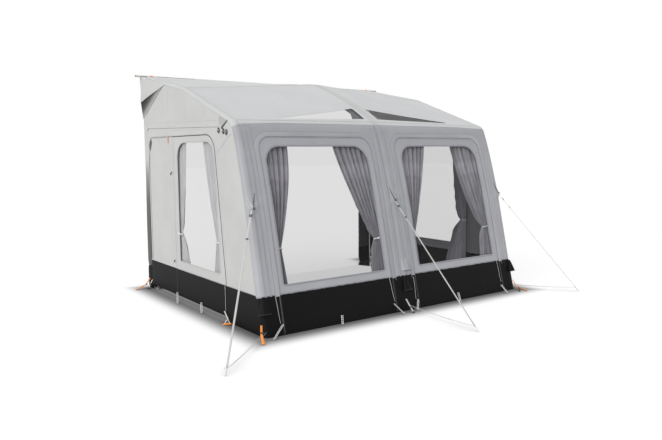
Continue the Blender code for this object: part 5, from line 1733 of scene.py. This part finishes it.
for word, side in SIDES.items():
    heights, depths = zip(*PAD_PROFILE)

    def pad_half(height):
        return PAD_HALF, float(np.interp(height, heights, depths)) / 2

    def pad_place(height):
        return side * PAD_X, WALL_Y + float(np.interp(height, heights, depths)) / 2

    tall = np.linspace(PAD_BLACK, 2.397, PAD_RINGS).tolist()
    name, node = f"rear_pad_cover_{word}", f"rear_pad_{word}"
    stuffed(name, tall, pad_place, pad_half, pad_cloth_painted_shade, 3, node)
    low = np.linspace(0.003, PAD_BLACK - 0.001, 20).tolist()
    stuffed(f"rear_pad_foot_{word}", low, pad_place, pad_half, skirt_cloth, 5)
    stuffed(
        f"rear_skirt_{word}", np.linspace(0.003, SKIRT_TOP, 40).tolist(),
        lambda height: (side * SKIRT_X, WALL_Y + 0.0155),
        lambda height: (SKIRT_HALF - 0.004 * math.sin(height * 37) ** 8, SKIRT_DEEP), skirt_finish, 7
    )
    # Painted shade: a dark tapered strip of zip tape stands for the slit between the pad and the door
    slit = [(0.05, 1.6), (0.03, 1.45), (0.012, 1.3), (0.008, 0.36)]
    side_strip("door_slit_shade", word, zip_tape, slit, SLIT_WIDTH, PLY, 0.0006, taper=(0.3, 1.0))
    fold = [(0.121, 1.734), (0.022, 1.685), (0.081, 1.594), (0.136, 1.689)]
    side_cloth(
        "door_fold", word, fold_shade, fold if side < 0 else fold[::-1], lift=2 * PLY,
        slot="mudwall_fabric", cell=0.012, thickness=0.0006, flip=False
    )
    fold = [(0.051, 1.856), (0.004, 1.83)]
    side_strip("rear_corner_fold", word, fold_shade, fold, 0.01, PLY, 0.0006)
    toe = [Vector((side * x, WALL_Y - u, z)) for x, u, z in TOE]

    def toe_surface(a, b, lift=0.0):
        """The skirt's loose foot: a four-cornered fold that lies on the ground."""
        across, down = 0.5 + side * a / TOE_WIDTH, b / TOE_LENGTH
        near, far = toe[0].lerp(toe[1], across), toe[3].lerp(toe[2], across)
        return near.lerp(far, down) + Vector((0, 0, lift + 0.006 * math.sin(math.pi * down) ** 2))

    half = TOE_WIDTH / 2
    corners = turned_over(oblong(-half, half, 0, TOE_LENGTH), side)
    cloth(
        f"rear_skirt_toe_{word}", skirt_cloth, toe_surface, corners, slot="pad_foam", held="laid",
        rests_on=[f"rear_skirt_{word}"], cell=0.02
    )

# Rear wings
# A three-cornered flap hangs from the roof's rear corner on each side and stands away from the
# wall, with a gusset behind it whose cloth is painted from grey to black as the flap's shadow.
WING_TIP = (0.05, -0.04, 2.149)
WING_HOLLOW = 0.036
WING_FRONT = 0.58
WING_SAG = 0.014
GUSSET_APEX = (0.5, 2.288)
GUSSET_FOOT = (-0.1, 1.965)
WING_BACK = (0.05, -0.04, 2.432)
# The gusset is painted from the wall's pale grey to black under the wing: painted shadow of the wing
gusset_shadow_cloth = cloth_finish("shaded_gusset_cloth", "#c5c5c4", "#bcbcbb", 4.0, 0.7, 0.0, 0.12, 0.4)
banded(gusset_shadow_cloth, 0.3, [(0.0, 0.9), (0.03, 0.5), (0.06, 0.12), (0.1, 0.02)])
for word, side in SIDES.items():
    edge = side * (ROOF_EDGE - 0.004)
    front = skin(edge, run_back(WING_FRONT), 0.001)
    back = Vector((side * (HALF_WIDTH + WING_BACK[0]), WALL_Y - WING_BACK[1], WING_BACK[2]))
    tip = Vector((side * (HALF_WIDTH + WING_TIP[0]), WALL_Y - WING_TIP[1], WING_TIP[2]))
    long_way, down_way = back - front, tip - front
    length = long_way.length
    share = down_way.dot(long_way) / length
    drop = math.sqrt(down_way.length_squared - share**2)

    def wing_surface(a, b, lift=0.0):
        """The flap, flat along its sewn edge and slightly hollow below it."""
        down = b / drop
        along_edge = (a - share * down) / length
        hollow = 4 * WING_SAG * down * (1 - down) * (0.5 - abs(along_edge - 0.5 * (1 - down)))
        point = front + long_way * along_edge + down_way * down
        return point + Vector((side * (hollow + lift), 0, 0))

    hollow_at = ((length + share) / 2 - WING_HOLLOW, drop * 0.6)
    cut = [(0.0, 0.0), (length, 0.0), hollow_at, (share, drop)]
    if side > 0:
        cut = cut[::-1]
    cloth(
        f"rear_wing_cloth_{word}", wall_cloth, wing_surface, cut, node=f"rear_wing_{word}",
        rests_on=["roof_canopy_cloth"], cell=0.02, flip=side > 0
    )
    hem = [(0.02, 0.004), (share * 0.98, drop * 0.975)]
    name = f"rear_wing_hem_{word}"
    strip(name, roof_seam, wing_surface, hem, 0.008, 0.0, 0.0012, slot="roof_fabric")
    apex = side_surface(side)(*GUSSET_APEX, 0.001)
    base = Vector((side * (HALF_WIDTH + 0.002), WALL_Y - GUSSET_FOOT[0], GUSSET_FOOT[1]))
    span, out_way = apex - base, tip - Vector((side * 0.004, 0, 0)) - base
    foot_share = out_way.dot(span) / span.length_squared
    deep = (out_way - span * foot_share).length

    def gusset_surface(a, b, lift=0.0):
        """The gusset, from the wall's edge out to the wing's tip."""
        down = b / deep
        return base + span * (a / span.length - foot_share * down) + out_way * down

    shade = [(0.0, 0.0), (span.length, 0.0), (foot_share * span.length, deep)]
    cloth(
        f"rear_gusset_{word}", gusset_shadow_cloth, gusset_surface, shade if side < 0 else shade[::-1],
        slot="mudwall_fabric", rests_on=[f"side_wall_cloth_{word}"], cell=0.02, flip=side > 0
    )

# Valve and cable hoods
# Flared flaps shelter the beam valves at the wall's lower edge and the cable entry above the
# centre one. Each is a cone of cloth, open below, that lifts on its upper edge.
HOOD_LEAN = 0.018
HOODS = {
    "left_valve_hood": (-1.62, 0.327, 0.14, 0.012, 0.055, 0.85, "valve_hood_left", mud_cloth),
    "centre_valve_hood": (0.0, 0.327, 0.14, 0.012, 0.055, 0.85, "valve_hood_centre", mud_cloth),
    "right_valve_hood": (1.628, 0.327, 0.132, 0.012, 0.06, 0.85, "valve_hood_right", mud_cloth),
    "cable_hood": (0.03, 0.507, 0.125, 0.032, 0.062, 0.45, "cable_hood", front_cloth_shaded),
}
for body, (x, top, drop, top_radius, foot_radius, bulge, node, finish) in HOODS.items():
    rows, columns = 16, 24
    points, places = [], []
    for row in range(rows + 1):
        down = row / rows
        radius = top_radius + (foot_radius - top_radius) * down**0.85
        for column in range(columns + 1):
            angle = math.pi * column / columns
            dent = 1 - 0.1 * down * math.exp(-(((angle - 1.9) / 0.35) ** 2))
            bell = down if node == "cable_hood" else 1
            out = 0.0015 + radius * math.sin(angle) * dent * bulge * bell
            lean = 0 if "left" in body else HOOD_LEAN * down
            across = -radius * math.cos(angle) + lean
            lip = 0.012 * down * math.sin(angle)
            points.append(skin(x + across, run_at(top - drop * down + lip * 0.4), out))
            places.append((radius * angle, 1.6 + drop * down))
    faces = []
    stride = columns + 1
    for row in range(rows):
        for column in range(columns):
            a = row * stride + column
            faces.append((a, a + stride, a + stride + 1, a + 1))
    flap = finish_mesh(f"{body}_cloth", points, faces, finish, places)
    thickened(flap, 0.0014)
    black = finish == mud_cloth
    slot = "mudwall_fabric" if black else "wall_fabric"
    carried(flap, body, slot, node)
    # The black hoods' hem cord takes the zip tape's lighter grey: painted highlight along each hood's lit
    # lower edge
    path = [points[rows * stride + column] + Vector((0, 0, 0.003)) for column in range(stride)]
    hem, _ = round_cord(f"{body}_hem", path, 0.0045, zip_tape if black else finish, 24)
    carried(hem, body, slot)

# Door sliders
# Each door's zip has a die-cast slider at the top of the door with an orange pull tab.
SLIDER_DEPTH = 0.61
SLIDER_TOP = 1.749
SLIDER_WIDTH = 0.013
# Shares of its half length, width and depth along the slider
SLIDER_SHARES = [
    (-1, 0.6, 0.3),
    (-0.85, 0.85, 0.7),
    (-0.2, 1.0, 1.0),
    (0.4, 0.8, 1.0),
    (0.9, 0.55, 0.7),
    (1, 0.4, 0.3),
]
PULL_LENGTH = 0.068
for word, side in SIDES.items():
    out = Vector((side, 0, 0))
    base = Vector((side * (HALF_WIDTH - 0.0005), WALL_Y - SLIDER_DEPTH, SLIDER_TOP))
    rings = []
    for share, half, deep in SLIDER_SHARES:
        ring = []
        for angle in around(16):
            up = math.cos(angle) * SLIDER_WIDTH / 2 * half
            away = 0.0024 + math.sin(angle) * 0.0024 * deep
            ring.append(base + Vector((0, -side * share * 0.01, up)) + out * away)
        rings.append(ring)
    slider = tube("slider", rings, plated_steel)
    hang = [
        base + out * 0.005,
        base + out * 0.0062 + Vector((0, 0, -0.01)),
        base + out * 0.0055 + Vector((0, 0.001, -PULL_LENGTH)),
    ]
    tab = flat_strap("tab", hang, 0.012, 0.0022, out, orange_webbing, 16)
    pull = outward(joined(f"door_slider_{word}", [slider, tab]))
    carried(pull, f"{word}_door_slider", "orange_trim", f"door_zip_{word}")

# Curtain ties
# A white band gathers each curtain at its tie and stands a little off its folds.
TIE_POINTS = 40
# The ties are white cotton tape
tie_tape = cloth_finish("woven_white_tape", "#fbfbfa", "#f0f0ee", 2.0, 0.8, 0.1, 0.15)
for name, surface, outer, way, shape, body in hangings:
    half = shape[0] * shape[1] / 2 + 0.004
    middle = outer + way * (half - 0.003)
    points, faces = [], []
    for angle in around(TIE_POINTS):
        for up, thick in ((-1, 0), (-1, 0.0015), (1, 0.0015), (1, 0)):
            across = middle + (half + thick) * math.cos(angle)
            deep = -CURTAIN_BEHIND + (0.017 + thick) * math.sin(angle)
            tilt = 0.12 * (across - outer) * way
            points.append(surface(across, CURTAIN_TIE + up * TIE_BAND / 2 - tilt, deep))
    for corner in range(TIE_POINTS):
        for step in range(4):
            a, b = corner * 4 + step, corner * 4 + (step + 1) % 4
            after = (corner + 1) % TIE_POINTS * 4
            faces.append((a, b, after + (step + 1) % 4, after + step))
    band = outward(finish_mesh(f"curtain_tie_{name}", points, faces, tie_tape, None))
    carried(band, body, "curtain_fabric")

# Zip pulls
# A thin cord hangs from each zip's slider down over the mudwall.
PULL_CORD = 0.004
ZIP_PULLS = {
    "panel_left_inner": (skin, (-0.195, 0.355), (-0.165, 0.105), True),
    "panel_right_inner": (skin, (0.122, 0.31), (0.114, 0.09), True),
    "panel_left_outer": (skin, (-1.505, 0.35), (-1.482, 0.1), True),
    "panel_right_outer": (skin, (1.408, 0.345), (1.43, 0.105), True),
    "side_left": (side_surface(-1), (1.87, 0.334), (1.878, 0.095), False),
    "side_right": (side_surface(1), (1.87, 0.334), (1.878, 0.095), False),
}
for name, (surface, top, foot, front) in ZIP_PULLS.items():
    path = []
    for step in range(13):
        share = step / 12
        across = top[0] + (foot[0] - top[0]) * share**1.6 + 0.003 * math.sin(share * 5)
        height = top[1] + (foot[1] - top[1]) * share
        path.append(surface(across, run_at(height) if front else height, 0.0045))
    cord, line = round_cord(f"zip_pull_{name}", path, PULL_CORD, webbing, 30)
    carried(cord, "awning", "strap_webbing")
    thin_cord(line)

# Hem ladders
# Pale ladder bands hold the mudwall's hem to small steel pegs in the ground. Each has two rails
# and a row of rungs.
LADDER_WIDTH = 0.018
LADDER_RAIL = 0.004
LADDER_THICK = 0.0018
RUNG_PITCH = 0.017
RUNG_SIZE = (0.004, 0.018, 0.0022)
LADDERS = {
    "left_rear": ((-1.656, 0.741, 0.084), (-1.73, 0.92, 0.008)),
    "left_middle": ((-1.656, 1.341, 0.082), (-1.71, 1.46, 0.008)),
    "right_rear": ((1.656, 0.741, 0.084), (1.73, 0.92, 0.008)),
    "right_middle": ((1.656, 1.341, 0.082), (1.71, 1.46, 0.008)),
    "front_left": ((-1.476, 2.603, 0.099), (-1.61, 2.674, 0.01)),
    "front_left_middle": ((-0.84, 2.603, 0.08), (-0.87, 2.65, 0.012)),
    "centre_left": ((-0.203, 2.603, 0.095), (-0.16, 2.70, 0.012)),
    "centre_right": ((0.119, 2.603, 0.095), (0.05, 2.67, 0.012)),
    "front_right_middle": ((0.70, 2.603, 0.085), (0.645, 2.69, 0.012)),
    "front_right": ((1.397, 2.603, 0.08), (1.38, 2.70, 0.012)),
}
# The ladders are a moulded elastomer, off-white
ladder_band = moulded_finish("moulded_white_elastomer", "#f0f0ea", 0.6, 0.8)


def placed(point):
    """A point given by x, distance from the caravan and height."""
    return Vector((point[0], WALL_Y - point[1], point[2]))


for name, (top, foot) in LADDERS.items():
    start, end = placed(top), placed(foot)
    run = (end - start).normalized()
    across, out = beside_run(run)
    length = (end - start).length

    def ladder_plane(a, b, lift=0.0):
        return start + across * a + run * b + out * lift

    rails = [
        flat_strap(
            f"rail{way}",
            [
                start + across * way * (LADDER_WIDTH - LADDER_RAIL) / 2,
                end + across * way * LADDER_WIDTH / 2.6,
            ],
            LADDER_RAIL, LADDER_THICK, out, ladder_band, 14
        )
        for way in (-1, 1)
    ]
    rungs = blocks_along(
        "rungs", ladder_plane, [(0, 0.006), (0, length - 0.004)], RUNG_PITCH, RUNG_SIZE, ladder_band, 0.0,
        slot="strap_webbing"
    )
    carried(joined(f"hem_ladder_{name}", [*rails, rungs]), "awning", "strap_webbing")
    hook = [
        end + out * 0.009 - run * 0.012,
        end + out * 0.011,
        end + run * 0.006 + out * 0.004,
        Vector((end.x, end.y, 0.004)) + Vector((run.x, run.y, 0)) * 0.02,
    ]
    peg, _ = round_cord(f"hem_peg_{name}", hook, 0.005, plated_steel, 16)
    carried(peg, "awning", "pole_steel")

# Orange pegs and corner tapes
# Orange webbing tapes run from the front corners and the rear corners to flat moulded pegs.
# White tapes hold the middle of the front hem and the rear corners, and two short legs with an
# orange stake hold each side hem near the front.
BLADE_THICK = 0.005
CORNER_PEGS = {
    "left_front": ((-1.702, 2.62, 0.13), (-1.726, 2.66, 0.071), (-1.758, 2.75, 0.006)),
    "left_rear": ((-1.655, -0.06, 0.117), (-1.72, -0.02, 0.055), (-1.84, -0.03, 0.006)),
    "right_front": ((1.652, 2.56, 0.096), (1.6, 2.685, 0.012), (1.56, 2.735, 0.006)),
    "right_front_side": ((1.70, 2.59, 0.014), (1.69, 2.62, 0.012), (1.64, 2.77, 0.006)),
    "right_rear": ((1.655, -0.06, 0.117), (1.72, -0.02, 0.055), (1.84, -0.03, 0.006)),
}
# The pegs at the right front corner are half as wide
NARROW = 0.5
HEM_TAPES = {
    "centre": ((-0.044, 2.602, 0.12), (-0.046, 2.67, 0.05), (-0.05, 2.72, 0.006)),
    "left_rear": ((-1.657, 0.02, 0.11), (-1.68, 0.01, 0.06), (-1.7, 0.0, 0.008)),
    "right_rear": ((1.657, 0.02, 0.11), (1.68, 0.01, 0.06), (1.7, 0.0, 0.008)),
}
# Moulded polypropylene pegs, bright orange
orange_plastic = moulded_finish("moulded_orange_polypropylene", ORANGE, 0.45)


def blade(name, start, end, wide_start, wide_end, thick, material):
    """A flat tapered peg with rounded edges between two points, its broad side up."""
    run = (end - start).normalized()
    across, out = beside_run(run)
    rings = []
    for index in range(13):
        share = index / 12
        half = (wide_start + (wide_end - wide_start) * share) / 2 * (0.8 if index in (0, 12) else 1)
        ring = []
        for angle in around(16):
            c, s = math.cos(angle), math.sin(angle)
            side_way = math.copysign(abs(c) ** 0.5, c) * half
            ridge = 1 + 0.6 * (abs(c) < 0.4)
            up = math.copysign(abs(s) ** 0.5, s) * thick / 2 * ridge
            ring.append(start.lerp(end, share) + across * side_way + out * up)
        rings.append(ring)
    return tube(name, rings, material)


for name, (top, joint, foot) in CORNER_PEGS.items():
    start, middle, end = placed(top), placed(joint), placed(foot)
    small = NARROW if "right_front" in name else 1
    tape = flat_strap("tape", [start, middle], 0.017 * small, STRAP_THICKNESS, UP, orange_webbing, 16)
    run = (end - middle).normalized()
    paint = black_acetal if name == "right_front" else orange_plastic
    peg = blade("peg", middle - run * 0.006, end, 0.018 * small, 0.03 * small, BLADE_THICK, paint)
    wide = 0.023 * small
    ends = [middle - run * 0.011, middle + run * 0.003]
    keeper = blade("keeper", *ends, wide, wide, 0.009, black_acetal)
    carried(joined(f"corner_peg_{name}", [tape, peg, keeper]), "awning", "orange_trim")
for name, (top, joint, foot) in HEM_TAPES.items():
    start, middle, end = placed(top), placed(joint), placed(foot)
    tape = flat_strap(
        "tape", [start, middle, end], 0.018, STRAP_THICKNESS, Vector((0, -0.2, 1)), webbing, 18
    )
    run = (end - middle).normalized()
    peg = blade("peg", end - run * 0.012, end + run * 0.004, 0.022, 0.014, 0.008, black_acetal)
    ring = blade("ring", middle - run * 0.006, middle + run * 0.006, 0.024, 0.024, 0.007, black_acetal)
    carried(joined(f"hem_tape_{name}", [tape, peg, ring]), "awning", "strap_webbing")

for word, side in SIDES.items():
    knot = placed((side * 1.68, 1.966, 0.051))
    start = placed((side * 1.657, 1.854, 0.095))
    parts = [flat_strap("tail", [start, knot], 0.011, 0.002, UP, ladder_band, 12)]
    for x, u in ((1.722, 1.978), (1.684, 2.012)):
        leg = [knot, placed((side * x, u, 0.012))]
        parts.append(flat_strap("leg", leg, 0.007, 0.002, Vector((0, -1, 1)), ladder_band, 12))
    ends = [placed((side * 1.745, 1.988, 0.007)), placed((side * 1.668, 2.012, 0.01))]
    parts.append(blade("stake", *ends, 0.014, 0.03, 0.012, orange_plastic))
    carried(joined(f"hem_stake_{word}", parts), "awning", "orange_trim")

# Strap anchors
# Webbing sewn in a V to the wall spreads each storm strap's pull, and a black ring joins it to
# the strap. A second black keeper sits on each strap further down.
ANCHOR_RISE = 0.14
ANCHOR_SPREAD = 0.042
ANCHORS = {"left": -1.607, "centre": 0.03, "right": 1.628}
for word, guy in GUYS.items():
    top = Vector(guy["top"])
    run = (Vector(guy["joint"]) - top).normalized()
    w = ANCHORS[word]
    foot_run = run_at(top.z - 0.002)
    for way, part in ((-1, "a"), (1, "b")):
        strip(
            f"anchor_webbing_{word}_{part}", webbing if way * (w + 0.01) > 0 else zip_tape, skin,
            [(w + way * ANCHOR_SPREAD, foot_run + ANCHOR_RISE), (w + way * 0.003, foot_run)], 0.011, PLY,
            0.0016, slot="strap_webbing", taper=(0.35, 1.0)
        )
    corners = [(w - 0.045, foot_run - 0.03), (w + 0.045, foot_run - 0.03), (w, foot_run + 0.02)]
    patch = rounded(corners, [0.008] * 3, 0, 4)
    cloth(
        f"anchor_patch_{word}", front_cloth_shaded, skin, patch, lift=BINDING_LIFT, slot="wall_fabric",
        rests_on=["front_leg_cloth_centre"], cell=0.015, thickness=THIN_CLOTH
    )
    keeper = ladder_lock(f"strap_keeper_{word}", top + run * guy["locks"][1], run, black_acetal, 0.016)
    carried(keeper, "awning", "moulded_hardware")
    seat = skin(w, foot_run, 0.004)
    turns = np.linspace(0, 2 * math.pi, 25)
    ring = [seat + Vector((0.011 * math.cos(a), -0.005, 0.011 * math.sin(a))) for a in turns]
    loop, _ = round_cord(f"anchor_ring_{word}", ring, 0.005, black_acetal, 48)
    carried(loop, "awning", "moulded_hardware")

# Gable fittings
# A dark compression strap with three black buckles crosses each gable's front corner on a sewn
# patch, and two small black toggles hold the rolled door.
GABLE_PATCH = [(1.807, 1.849), (1.859, 1.806), (1.951, 1.851), (1.965, 1.868), (1.815, 1.922)]
STRAP_LINE = [(1.985, 1.862), (1.865, 1.795)]
BUCKLES = [(1.812, 1.778), (1.905, 1.768), (1.965, 1.757)]
CORNER_FOLD = [(2.06, 1.735), (2.012, 1.728), (1.765, 1.572)]
TOGGLES = [(0.692, 1.375), (0.66, 1.345)], [(0.702, 0.43), (0.68, 0.405)]
# The patch is the wall's cloth in a slightly greyer tone
patch_cloth = cloth_finish("greyer_patch_cloth", "#b3b3b3", "#a9a9a9", 4.0, 0.7, 0.05, 0.2)
for word, side in SIDES.items():
    surface = side_surface(side)
    side_cloth(
        "gable_patch", word, patch_cloth, GABLE_PATCH if side > 0 else GABLE_PATCH[::-1], lift=0.0016,
        cell=0.02, flip=False, thickness=THIN_CLOTH
    )
    side_strip(
        "gable_strap", word, zip_tape, STRAP_LINE, 0.017, 0.0026, 0.0018, slot="strap_webbing",
        taper=(0.5, 1.0)
    )
    name, lift = f"corner_fold_{word}", -SIDE_SET_IN
    seam_line(name, front_seam, surface, CORNER_FOLD, lift=lift, width=0.0035)
    parts = []
    for depth, height in BUCKLES:
        seat = surface(depth, height, 0.003)
        turns = np.linspace(0.6, 2 * math.pi + 0.2, 24)
        ring = [seat + Vector((0, 0.015 * math.cos(a), 0.022 * math.sin(a))) for a in turns]
        parts.append(round_cord("part", ring, 0.008, black_acetal, 30)[0])
    carried(joined(f"gable_buckles_{word}", parts), "awning", "moulded_hardware")
    for number, (high, low) in enumerate(TOGGLES):
        bent = (high[0] - 0.008, high[1] - 0.012)
        line = [surface(*high, 0.004), surface(*bent, 0.009), surface(*low, 0.005)]
        toggle, _ = round_cord(f"door_toggle_{word}_{number}", line, 0.009, black_acetal, 14)
        carried(toggle, f"{word}_door", "moulded_hardware")
